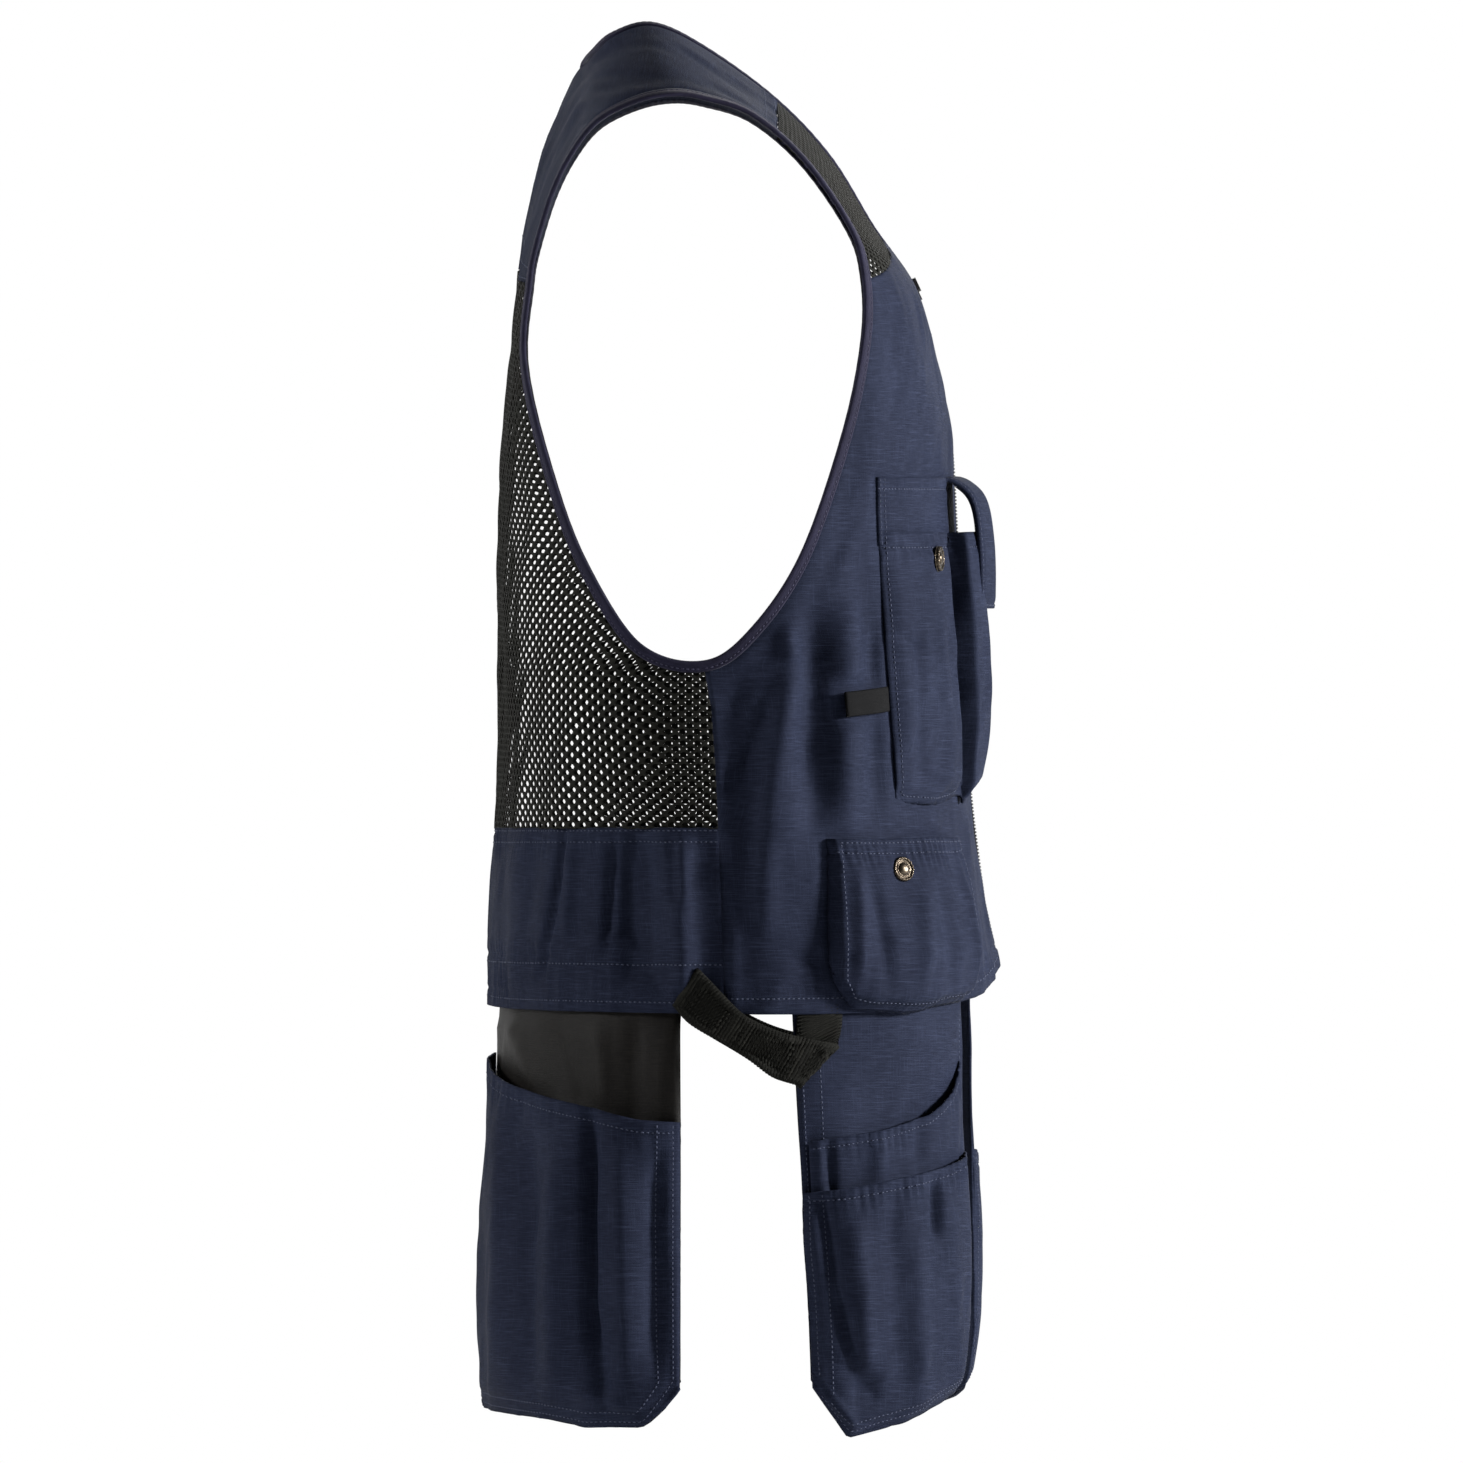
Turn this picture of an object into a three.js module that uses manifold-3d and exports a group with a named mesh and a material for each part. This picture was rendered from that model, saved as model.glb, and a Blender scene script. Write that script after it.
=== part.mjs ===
// Utility work vest, as it is worn: cloth fronts that zip together, mesh shoulders and back, a waist
// panel, chest and waist pockets, tool holsters that hang under the hem and webbing tool loops.
// Millimetres. +X is the wearer's front, +Y the wearer's left, +Z up. The origin lies where the
// shoulders carry the vest, on its middle line.
import * as THREE from 'three';
import Module from 'manifold-3d';
import { mergeVertices } from 'three/addons/utils/BufferGeometryUtils.js';

const wasm = await Module();
wasm.setup();

// The vest's main sizes
const VEST_DEPTH = 304;
const BODY_LENGTH = 596;
const HALF_WIDTH = 215;
const NECK_TOP = 27.6;

// Walls and the gaps between pieces
const CLOTH = 1.5;
const MESH_WALL = 1.2;
const SEAM_GAP = 0.4;
const PIECE_GAP = 0.35;
const ROUNDING = 0.6;
const FOLD_DEPTH = 5;
// How far behind a face its room reaches, to clear all that lies under it
const DEEP = -8;

// Bindings, zip and webbing
const ARMHOLE_BINDING_WIDTH = 7;
const NECK_BINDING_WIDTH = 5.5;
const BINDING_THICKNESS = 3;
const BINDING_GAP = 0.6;
const BINDING_ROOM = 2.4;
const CLEAR_EDGE = 9;
const EDGE_TUCK = 3;
const FRONT_EDGE = 6;
const ZIP_HALF_WIDTH = FRONT_EDGE - SEAM_GAP;
const ZIP_THICKNESS = 2;
const SLIDER_WIDTH = 7;
const SLIDER_LENGTH = 9;
const SLIDER_THICKNESS = 3;
const PULL_WIDTH = 4.5;
const PULL_LENGTH = 11;
const PULL_THICKNESS = 1.4;
const PULL_DROP = 3;
const SLIDER_CORNER = 1.5;
const PULL_CORNER = 1;
const WEBBING_WIDTH = 26;
const WEBBING = 2;

// Chest patch, pocket and flap. Turns are degrees round the body from straight ahead.
const PATCH_HEIGHT = 41;
const PATCH_OVERLAP = 8;
const PATCH_FRONT_TURN = 27;
const CHEST_POCKET_TOP = 278;
const CHEST_POCKET_HEIGHT = 162;
const CHEST_POCKET_DEPTH = 14;
const CHEST_REAR_TURN = 57;
const CHEST_FRONT_TURN = 9;
const FLAP_LENGTH = 78;
const FLAP_REACH = 26;
const FLAP_WIDTH = 48;
const FLAP_MIDDLE = 52;
const FLAP_THICKNESS = 2.6;
const FLAP_RISE = 33;
const FLAP_DROOP = 0.1;
const SNAP_RADIUS = 7.5;
const SNAP_HEIGHT = 3.2;
const SNAP_SINK = 0.3;
const CHEST_SNAP = { across: 0.68, up: 0.9 };
const LOWER_SNAP = { across: 0.62, up: 0.82 };
const LABEL_DROP = 370;
const LABEL_SWEEP = 10.5;
const LABEL_HEIGHT = 18;
const LABEL_THICKNESS = 1.6;
const LABEL_GAP = 0.6;
const LABEL_STAND = 5;

// Lower pocket
const LOWER_POCKET_TOP = 461;
const LOWER_POCKET_HEIGHT = 103;
const LOWER_POCKET_DEPTH = 14;
const LOWER_REAR_TURN = 72.5;
const LOWER_FRONT_TURN = 38;

// Holsters under the hem
const HEM_DEPTH = 565;
const TUCK = 11;
const FRONT_HOLSTER_LENGTH = 254;
const FRONT_HOLSTER_REAR_TURN = 78.5;
const FRONT_HOLSTER_SWING = 3.8;
const FRONT_HOLSTER_DEPTH = 18;
const INNER_LAYER_DEPTH = 8;
const INNER_LAYER_MARGIN = 0.03;
const REAR_HOLSTER_LENGTH = 247;
const REAR_HOLSTER_FRONT_TURN = 97.2;
const REAR_HOLSTER_REAR_TURN = 157;
const REAR_HOLSTER_DEPTH = 15;
// How far the holsters' backings lie inside the vest's outer face, to pass behind the hem
const REAR_BACKING_INSET = CLOTH + 2 * PIECE_GAP;
const FRONT_BACKING_INSET = REAR_BACKING_INSET + WEBBING;

// The two sides differ only in how far forward the front holster has swung.
const SIDES = [
  { side: 'right', mirror: false, holsterFrontTurn: 38 },
  { side: 'left', mirror: true, holsterFrontTurn: 32 },
];

// Tables: named columns, one row for each section
function table(names, rows) {
  return rows.map((row) => Object.fromEntries(names.map((name, i) => [name, row[i]])));
}

// Sections of the body: down is a share of BODY_LENGTH, front, axis and back of VEST_DEPTH, half of
// HALF_WIDTH. Round is the exponent of the curve in front of the axis, square the one behind it.
const TORSO = table(['down', 'front', 'axis', 'back', 'half', 'round', 'square'], [
  [0.080, 0.230, 0.015, -0.222, 0.950, 3.9, 4.6],
  [0.134, 0.325, 0.020, -0.258, 0.955, 4.2, 5.6],
  [0.205, 0.407, 0.028, -0.285, 0.955, 4.1, 6.0],
  [0.257, 0.473, 0.034, -0.298, 0.955, 3.4, 6.0],
  [0.313, 0.513, 0.040, -0.309, 0.960, 2.9, 5.6],
  [0.409, 0.551, 0.048, -0.327, 0.970, 2.5, 4.0],
  [0.499, 0.564, 0.056, -0.337, 0.980, 2.3, 2.8],
  [0.580, 0.570, 0.062, -0.339, 0.990, 2.3, 2.6],
  [0.661, 0.578, 0.072, -0.339, 1.000, 2.3, 2.5],
  [0.781, 0.594, 0.093, -0.341, 0.990, 2.3, 2.5],
  [0.882, 0.619, 0.101, -0.353, 0.985, 2.3, 2.5],
  [0.948, 0.645, 0.104, -0.356, 0.990, 2.3, 2.5],
  [1.000, 0.650, 0.107, -0.357, 0.990, 2.3, 2.5],
  [1.100, 0.650, 0.107, -0.361, 0.990, 2.3, 2.5],
  [1.200, 0.655, 0.107, -0.374, 0.990, 2.3, 2.5],
  [1.320, 0.655, 0.107, -0.383, 0.990, 2.3, 2.5],
  [1.450, 0.650, 0.107, -0.382, 0.990, 2.3, 2.5],
]);

// Rows of the vest from the front hem over the shoulder to the back hem. n is the end at the middle
// or the neck, a the end at the side seam or the armhole. Forward is a share of VEST_DEPTH, out of
// HALF_WIDTH, down and lift of BODY_LENGTH. Corner and lean place the bend of a row over the shoulder.
const ROWS = table(
  ['nForward', 'nOut', 'nDown', 'aForward', 'aOut', 'aDown', 'corner', 'lean', 'lift'],
  [
    [0.645, 0.028, 0.948, 0.107, 0.991, 0.995, 1.00, 0.00, -0.032],
    [0.619, 0.028, 0.882, 0.103, 0.986, 0.887, 1.00, 0.00, 0.000],
    [0.594, 0.028, 0.781, 0.095, 0.986, 0.797, 1.00, 0.00, 0.000],
    [0.578, 0.028, 0.661, 0.065, 1.000, 0.641, 1.00, 0.00, 0.000],
    [0.570, 0.028, 0.580, 0.158, 0.980, 0.609, 0.93, 0.00, 0.000],
    [0.564, 0.028, 0.499, 0.258, 0.930, 0.533, 0.80, 0.00, 0.000],
    [0.550, 0.028, 0.409, 0.343, 0.840, 0.409, 0.68, 0.00, 0.000],
    [0.513, 0.028, 0.313, 0.381, 0.780, 0.313, 0.62, 0.00, 0.000],
    [0.471, 0.028, 0.257, 0.379, 0.800, 0.248, 0.60, 0.05, 0.000],
    [0.402, 0.085, 0.205, 0.351, 0.805, 0.202, 0.55, 0.15, 0.000],
    [0.316, 0.180, 0.134, 0.262, 0.825, 0.137, 0.50, 0.30, 0.000],
    [0.207, 0.265, 0.0755, 0.162, 0.852, 0.0937, 0.50, 0.40, 0.006],
    [0.065, 0.340, 0.023, 0.069, 0.870, 0.078, 0.50, 0.50, 0.010],
    [-0.0355, 0.372, 0.000, 0.002, 0.884, 0.0745, 0.50, 0.50, 0.012],
    [-0.114, 0.344, 0.010, -0.067, 0.884, 0.0816, 0.50, 0.50, 0.010],
    [-0.154, 0.200, 0.027, -0.142, 0.870, 0.1007, 0.50, 0.40, 0.008],
    [-0.1716, 0.000, 0.0373, -0.193, 0.858, 0.132, 0.50, 0.25, 0.006],
    [-0.219, 0.000, 0.0806, -0.233, 0.836, 0.173, 0.55, 0.10, 0.000],
    [-0.262, 0.000, 0.142, -0.264, 0.812, 0.2256, 0.60, 0.00, 0.000],
    [-0.298, 0.000, 0.2457, -0.276, 0.800, 0.263, 0.62, 0.00, 0.000],
    [-0.3156, 0.000, 0.343, -0.286, 0.790, 0.343, 0.66, 0.00, 0.000],
    [-0.3353, 0.000, 0.454, -0.231, 0.820, 0.456, 0.74, 0.00, 0.000],
    [-0.339, 0.000, 0.540, -0.1657, 0.890, 0.5418, 0.84, 0.00, 0.000],
    [-0.339, 0.000, 0.605, -0.059, 0.970, 0.623, 0.95, 0.00, 0.000],
    [-0.339, 0.000, 0.661, 0.065, 1.000, 0.641, 1.00, 0.00, 0.000],
    [-0.339, 0.000, 0.751, 0.0907, 0.991, 0.753, 1.00, 0.00, 0.000],
    [-0.347, 0.000, 0.8097, 0.0947, 0.986, 0.8087, 1.00, 0.00, 0.000],
    [-0.355, 0.000, 0.907, 0.1026, 0.986, 0.907, 1.00, 0.00, 0.000],
    [-0.357, 0.000, 0.986, 0.107, 0.991, 0.995, 1.00, 0.00, 0.000],
  ],
);

// The side seam under the armhole, where the front panel meets the back
const SIDE_SEAM = table(['down', 'forward'], [
  [0.641, 0.065], [0.690, 0.082], [0.753, 0.0907], [0.800, 0.0945], [0.900, 0.1025], [0.995, 0.107],
]);

// Row numbers at which the panels meet
const HEM_ROW = 0;
const ARMPIT_ROW = 3;
const NECK_POINT_ROW = 8;
const MESH_SEAM = { middle: 8.9, side: 7.8 };
const FRONT_YOKE_SEAM = { middle: 11, side: 10.5 };
const BACK_NECK_ROW = 16;
const BACK_YOKE_ROW = 19;
const NECK_SHARE = 0.72;
const YOKE_SHARES = [0, 0.14, 0.28, 0.42, 0.57, NECK_SHARE, 0.813, 0.907, 1];
const BACK_ARMPIT_ROW = 24;
const WAIST_ROW = 26;
const BACK_HEM_ROW = 28;
const ZIP_ROWS = { foot: 0.02, head: 7.85, slider: 7.86 };
const OVER_SHOULDER = { start: 7.2, full: 9.2, fade: 17.5, end: 19.5 };

// Soft folds that run down the cloth: turn and width in degrees round the body at the fold's top,
// lean the degrees that it turns on its way down, depth a share of FOLD_DEPTH, top and foot shares
// of BODY_LENGTH.
const FOLDS = table(['turn', 'lean', 'width', 'depth', 'top', 'foot'], [
  [75, 8, 6, 0.8, 0.62, 0.96],
  [67, 0, 6, 0.6, 0.56, 0.80],
  [61, 1, 4, -0.5, 0.50, 0.76],
  [97, 0, 6, 0.5, 0.80, 0.95],
  [104, 2, 7, -0.7, 0.80, 0.97],
  [118, 8, 7, 0.8, 0.80, 0.97],
  [136, 2, 8, -0.4, 0.80, 0.97],
]);

// How far a pocket's face stands off its carrier: across it from its front edge to its rear edge,
// as shares of the pocket's depth, and up it from its bottom seam to its mouth. Rise is how far the
// bottom is cut up at each share across, of the pocket's height.
const CHEST_ACROSS = table(['share', 'proud', 'rise'], [
  [0.00, 0.00, 0.16], [0.05, 0.90, 0.12], [0.20, 1.15, 0.04], [0.38, 1.10, 0.02], [0.45, 0.95, 0.00],
  [0.49, 0.15, 0.03], [0.54, 0.62, 0.03], [0.74, 0.50, 0.00], [0.94, 0.36, 0.00], [1.00, 0.00, 0.02],
]);
const CHEST_UP = table(['share', 'proud'], [
  [0.00, 0.00], [0.06, 0.55], [0.30, 0.92], [0.65, 1.00], [0.90, 0.86], [1.00, 0.78],
]);
const LOWER_ACROSS = table(['share', 'proud', 'rise'], [
  [0.00, 0.00, 0.36], [0.04, 0.80, 0.20], [0.12, 0.90, 0.05], [0.28, 1.00, 0.03], [0.45, 1.00, 0.01],
  [0.62, 0.95, 0.00], [0.78, 0.86, 0.01], [0.90, 0.76, 0.03], [0.96, 0.56, 0.12], [1.00, 0.00, 0.22],
]);
const LOWER_UP = table(['share', 'proud'], [
  [0.00, 0.00], [0.07, 0.70], [0.30, 1.00], [0.60, 0.95], [0.85, 0.70], [1.00, 0.55],
]);
// The front holster from its front edge to its rear edge: how deep its layers' mouths and its bottom
// lie, as shares of its length, and how far a layer stands off its backing, as shares of its depth.
const FRONT_HOLSTER = table(['share', 'inner', 'outer', 'bottom', 'proud'], [
  [0.00, 0.114, 0.325, 0.752, 0.00], [0.05, 0.140, 0.328, 0.835, 0.30], [0.14, 0.180, 0.338, 0.894, 0.60],
  [0.37, 0.240, 0.364, 0.928, 0.95], [0.62, 0.272, 0.389, 0.972, 1.00], [0.846, 0.290, 0.412, 0.998, 0.80],
  [0.96, 0.300, 0.420, 0.912, 0.45], [1.00, 0.303, 0.422, 0.880, 0.00],
]);
// The rear holster from its front edge to its rear edge, in the same way.
const REAR_HOLSTER = table(['share', 'mouth', 'bottom', 'proud'], [
  [0.00, 0.263, 0.907, 0.00], [0.04, 0.261, 0.955, 0.45], [0.10, 0.257, 1.000, 0.75],
  [0.27, 0.219, 1.000, 1.00], [0.42, 0.195, 0.982, 0.80], [0.70, 0.150, 0.967, 0.65],
  [0.94, 0.110, 0.958, 0.35], [1.00, 0.100, 0.940, 0.00],
]);
// Up a holster layer, from its bottom seam to its mouth
const HOLSTER_UP = table(['share', 'proud'], [
  [0.00, 0.00], [0.07, 0.45], [0.30, 0.80], [0.65, 1.00], [1.00, 0.90],
]);
// The chest flap, seen from the side: forward of the chest as a share of FLAP_REACH, down of
// FLAP_LENGTH.
const FLAP_PATH = table(['forward', 'down'], [
  [0.02, 0.00], [0.16, -0.01], [0.42, 0.03], [0.70, 0.12], [0.86, 0.26], [0.94, 0.48],
  [0.97, 0.74], [0.96, 1.00],
]);
// Half a press stud's section from its back to the middle of its dome
const SNAP_PROFILE = table(['radius', 'height'], [
  [0.00, 0.00], [1.00, 0.00], [1.00, 0.40], [0.86, 0.75], [0.70, 0.50], [0.36, 0.86], [0.00, 1.00],
]);
// The tool loop in webbing widths from the foot of the side seam: its upper or front edge, its lower
// or rear edge, and off, how far its middle stands off the vest's outer face in webbing thicknesses.
const LOOP = table(['frontX', 'frontZ', 'rearX', 'rearZ', 'off'], [
  [-0.60, 1.05, -1.15, 0.18, 0.72],
  [-0.02, 0.44, -0.83, -0.20, 0.72],
  [0.36, 0.05, -0.21, -0.60, 0.72],
  [0.74, -0.20, 0.55, -1.06, 0.45],
  [1.36, -0.44, 1.13, -1.48, 0.10],
  [2.48, -0.69, 1.60, -1.62, -0.15],
  [2.60, -0.75, 1.72, -1.70, -0.75],
  [2.62, -0.62, 1.66, -1.50, -1.45],
  [2.72, -0.30, 1.68, -0.70, -1.45],
  [2.74, 0.22, 1.70, 0.10, -1.45],
]);

const COLOURS = {
  navy: { color: 0x2b3048, roughness: 0.9, metalness: 0 },
  bindingNavy: { color: 0x26243a, roughness: 0.9, metalness: 0 },
  mesh: { color: 0x24251f, roughness: 0.85, metalness: 0 },
  lining: { color: 0x26231f, roughness: 0.6, metalness: 0 },
  webbing: { color: 0x1c1c19, roughness: 0.8, metalness: 0 },
  brass: { color: 0x6b5d45, roughness: 0.4, metalness: 1 },
  black: { color: 0x141414, roughness: 0.5, metalness: 0 },
};
const materials = Object.fromEntries(
  Object.entries(COLOURS).map(([name, look]) => [name, new THREE.MeshStandardMaterial(look)]),
);

// Numbers
const mix = (a, b, share) => a + (b - a) * share;
const radians = THREE.MathUtils.degToRad;
const steps = (count) => Array.from({ length: count + 1 }, (_, i) => i / count);
const shares = (rows) => rows.map((row) => row.share);

// A row of a table read at a share between the rows, by straight lines over its first column.
function read(rows, share) {
  const key = Object.keys(rows[0])[0];
  const last = rows.length - 2;
  const found = rows.findIndex((row, i) => i > last || share <= rows[i + 1][key]);
  const i = Math.min(Math.max(found, 0), last);
  const part = THREE.MathUtils.clamp((share - rows[i][key]) / (rows[i + 1][key] - rows[i][key]), 0, 1);
  const names = Object.keys(rows[0]);
  return Object.fromEntries(names.map((name) => [name, mix(rows[i][name], rows[i + 1][name], part)]));
}

// A table read at a row number with a smooth curve through its rows. Pick gives the row for a
// whole number before or after the ends.
function flow(rows, number, pick = (i) => THREE.MathUtils.clamp(i, 0, rows.length - 1)) {
  const at = THREE.MathUtils.clamp(number, 0, rows.length - 1);
  const i = Math.min(Math.floor(at), rows.length - 2);
  const f = at - i;
  const near = [i - 1, i, i + 1, i + 2].map((j) => rows[pick(j)]);
  const curve = (a, b, c, d) => 0.5 * (2 * b + (c - a) * f + (2 * a - 5 * b + 4 * c - d) * f ** 2
    + (3 * b - a - 3 * c + d) * f ** 3);
  const names = Object.keys(rows[0]);
  return Object.fromEntries(names.map((name) => [name, curve(...near.map((row) => row[name]))]));
}

// The body that the vest is worn on

// The body's section at a height: front, axis and back in mm, half width and its two exponents.
function section(z) {
  const down = (NECK_TOP - z) / BODY_LENGTH;
  const last = TORSO.length - 2;
  const found = TORSO.findIndex((row, i) => i > last || down <= TORSO[i + 1].down);
  const i = Math.min(found, last);
  const part = THREE.MathUtils.clamp((down - TORSO[i].down) / (TORSO[i + 1].down - TORSO[i].down), 0, 1);
  const row = flow(TORSO, i + part);
  return {
    front: row.front * VEST_DEPTH,
    axis: row.axis * VEST_DEPTH,
    back: row.back * VEST_DEPTH,
    half: row.half * HALF_WIDTH,
    round: row.round,
    square: row.square,
  };
}

// A point of the body's right side at an angle from straight ahead (radians) and a height.
function torso(angle, z) {
  const at = section(z);
  const ahead = Math.cos(angle);
  const across = Math.sin(angle);
  const reach = ahead >= 0 ? at.front - at.axis : at.axis - at.back;
  const power = ahead >= 0 ? at.round : at.square;
  const radius = ((Math.abs(ahead) / reach) ** power + (Math.abs(across) / at.half) ** power) ** (-1 / power);
  return new THREE.Vector3(at.axis + radius * ahead, -radius * across, z);
}

// The angle at which the body's right side reaches forward to x at a height.
function angleAt(x, z) {
  const at = section(z);
  const front = x >= at.axis;
  const reach = front ? at.front - at.axis : at.axis - at.back;
  const power = front ? at.round : at.square;
  const share = Math.min(Math.abs(x - at.axis) / reach, 1);
  const out = at.half * (1 - share ** power) ** (1 / power);
  return Math.atan2(out, x - at.axis);
}

// The body's outward direction at an angle and height.
function outward(angle, z) {
  const small = 0.01;
  const round = torso(angle + small, z).sub(torso(angle - small, z));
  const down = torso(angle, z - 1).sub(torso(angle, z + 1));
  return round.cross(down).normalize();
}

// A point that stands off the body by a distance, at a turn in degrees.
function offBody(turn, z, off) {
  const angle = radians(turn);
  return torso(angle, z).addScaledVector(outward(angle, z), off);
}

// How far the folds of the cloth lift it at an angle and height.
function foldLift(angle, z) {
  const turn = THREE.MathUtils.radToDeg(angle);
  const down = (NECK_TOP - z) / BODY_LENGTH;
  return FOLDS.reduce((sum, fold) => {
    const along = (down - fold.top) / (fold.foot - fold.top);
    if (along <= 0 || along >= 1) return sum;
    const aside = (turn - fold.turn - fold.lean * along) / fold.width;
    if (Math.abs(aside) >= 1) return sum;
    const height = Math.sin(along * Math.PI) * Math.cos((aside * Math.PI) / 2) ** 2;
    return sum + FOLD_DEPTH * fold.depth * height;
  }, 0);
}

// The side end of a row: on the armhole's edge, a closed curve through its rows, or on the side seam.
function sidePoint(number) {
  const around = BACK_ARMPIT_ROW - ARMPIT_ROW;
  const onArmhole = (i) => ARMPIT_ROW + THREE.MathUtils.euclideanModulo(i - ARMPIT_ROW, around);
  const onFrontSeam = (i) => THREE.MathUtils.clamp(i, HEM_ROW, ARMPIT_ROW);
  const onBackSeam = (i) => THREE.MathUtils.clamp(i, BACK_ARMPIT_ROW, BACK_HEM_ROW);
  const pick = number < ARMPIT_ROW ? onFrontSeam : number > BACK_ARMPIT_ROW ? onBackSeam : onArmhole;
  const row = flow(ROWS, number, pick);
  const forward = pick === onArmhole ? row.aForward : read(SIDE_SEAM, row.aDown).forward;
  return new THREE.Vector3(forward * VEST_DEPTH, -row.aOut * HALF_WIDTH, NECK_TOP - row.aDown * BODY_LENGTH);
}

// The vest's outer face at a row number and a share from the middle or neck to the side or armhole.
// Rows below the armpits lie on the body with its folds, and rows over the shoulder are curves.
function vestPoint(number, share) {
  const row = flow(ROWS, number);
  const nOut = number <= NECK_POINT_ROW ? FRONT_EDGE : Math.max(row.nOut, 0) * HALF_WIDTH;
  const n = new THREE.Vector3(row.nForward * VEST_DEPTH, -nOut, NECK_TOP - row.nDown * BODY_LENGTH);
  const a = sidePoint(number);
  const lift = row.lift * BODY_LENGTH;
  const bendZ = mix(n.z, a.z, 0.5) + lift;
  const bend = new THREE.Vector3(mix(n.x, a.x, row.lean), mix(n.y, a.y, row.corner), bendZ);
  const [fromN, fromA] = [n, a].map((end) => end.clone().lerp(bend, ROUNDING));
  const curve = new THREE.CubicBezierCurve3(n, fromN, fromA, a);
  const over = curve.getPoint(share);

  const z = mix(n.z, a.z, share) + lift * 3 * ROUNDING * share * (1 - share);
  const start = Math.atan2(-n.y, n.x - section(n.z).axis);
  const angle = mix(start, angleAt(a.x, a.z), share);
  const round = torso(angle, z).addScaledVector(outward(angle, z), foldLift(angle, z));
  const { start: from, full, fade, end } = OVER_SHOULDER;
  const rising = THREE.MathUtils.smoothstep(number, from, full);
  const falling = 1 - THREE.MathUtils.smoothstep(number, fade, end);
  return round.lerp(over, rising * falling);
}

// The outward direction of the vest's face at a row number and share.
function vestOutward(number, share) {
  const small = 0.02;
  const low = Math.max(share - small, 0);
  const high = Math.min(share + small, 1);
  const across = vestPoint(number, high).sub(vestPoint(number, low));
  const up = vestPoint(number + small, share).sub(vestPoint(number - small, share));
  return across.cross(up.negate()).normalize();
}

// Cloth walls

// Quads between the points of a grid. Across runs from the middle to the side, up from the hem to
// the shoulder, and each quad faces out. trim pulls the grid's lower, upper and side edges in.
function grid(point, across, up, trim = 0) {
  const rows = up.map((v) => across.map((u) => point(u, v)));
  const pull = (end, next) => end.addScaledVector(next.clone().sub(end).normalize(), trim);
  const top = rows.length - 1;
  const side = across.length - 1;
  if (trim > 0) {
    across.forEach((_, i) => {
      pull(rows[0][i], rows[1][i]);
      pull(rows[top][i], rows[top - 1][i]);
    });
    rows.forEach((row) => pull(row[side], row[side - 1]));
  }
  return rows.slice(1).flatMap((row, j) => across.slice(1).map((_, i) => (
    [row[i], row[i + 1], rows[j][i + 1], rows[j][i]])));
}

// The same quads on the wearer's left.
function mirrorQuads(quads) {
  const flip = (p) => new THREE.Vector3(p.x, -p.y, p.z);
  return quads.map(([a, b, c, d]) => [flip(a), flip(d), flip(c), flip(b)]);
}

// A solid from vertex and triangle lists, whichever way round its faces are listed.
function solid(vertices, triangles) {
  const made = (order) => new wasm.Manifold(new wasm.Mesh({
    numProp: 3,
    vertProperties: Float32Array.from(vertices),
    triVerts: Uint32Array.from(order),
  }));
  const body = made(triangles);
  return body.volume() > 0 ? body : made(Array.from(triangles).reverse());
}

// A wall of cloth: quads joined where their corners meet, from inner to outer mm off their surface.
function wall(quads, inner, outer) {
  const numbers = new Map();
  const points = [];
  const number = (point) => {
    const key = [point.x, point.y, point.z].map((value) => Math.round(value * 1000)).join(' ');
    if (!numbers.has(key)) {
      numbers.set(key, points.length);
      points.push(point);
    }
    return numbers.get(key);
  };
  const faces = quads.map((quad) => quad.map(number));
  const normals = points.map(() => new THREE.Vector3());
  faces.forEach(([a, b, c, d]) => {
    const normal = points[c].clone().sub(points[a]).cross(points[d].clone().sub(points[b]));
    new Set([a, b, c, d]).forEach((i) => normals[i].add(normal.clone().normalize()));
  });
  normals.forEach((normal) => normal.normalize());
  const count = points.length;
  const at = (off) => points.flatMap((p, i) => p.clone().addScaledVector(normals[i], off).toArray());
  const edges = new Set(faces.flatMap((face) => face.map((a, i) => `${a} ${face[(i + 1) % 4]}`)));
  const triangles = [];
  faces.forEach((face) => {
    const [a, b, c, d] = face;
    triangles.push([a, b, c], [a, c, d]);
    triangles.push([c + count, b + count, a + count], [d + count, c + count, a + count]);
    face.forEach((p, i) => {
      const q = face[(i + 1) % 4];
      if (p !== q && !edges.has(`${q} ${p}`)) triangles.push([q, p, p + count], [q, p + count, q + count]);
    });
  });
  const whole = triangles.filter(([a, b, c]) => a !== b && b !== c && c !== a);
  return solid([...at(outer), ...at(inner)], whole.flat());
}

// A band with a flat section, swept through frames { point, aside, out }: from near to far along
// aside and from low to high along out. A closed band joins its last frame to its first.
function band(frames, near, far, low, high, closed = false) {
  const corners = [[near, low], [far, low], [far, high], [near, high]];
  const vertices = frames.flatMap(({ point, aside, out }) => corners.flatMap(([w, h]) => (
    point.clone().addScaledVector(aside, w).addScaledVector(out, h).toArray())));
  const triangles = [];
  const count = closed ? frames.length : frames.length - 1;
  for (let i = 0; i < count; i += 1) {
    const here = i * 4;
    const next = ((i + 1) % frames.length) * 4;
    for (let k = 0; k < 4; k += 1) {
      const m = (k + 1) % 4;
      triangles.push(here + k, next + k, next + m, here + k, next + m, here + m);
    }
  }
  if (!closed) {
    const end = (frames.length - 1) * 4;
    triangles.push(0, 1, 2, 0, 2, 3, end, end + 2, end + 1, end, end + 3, end + 2);
  }
  return solid(vertices, triangles);
}

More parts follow.
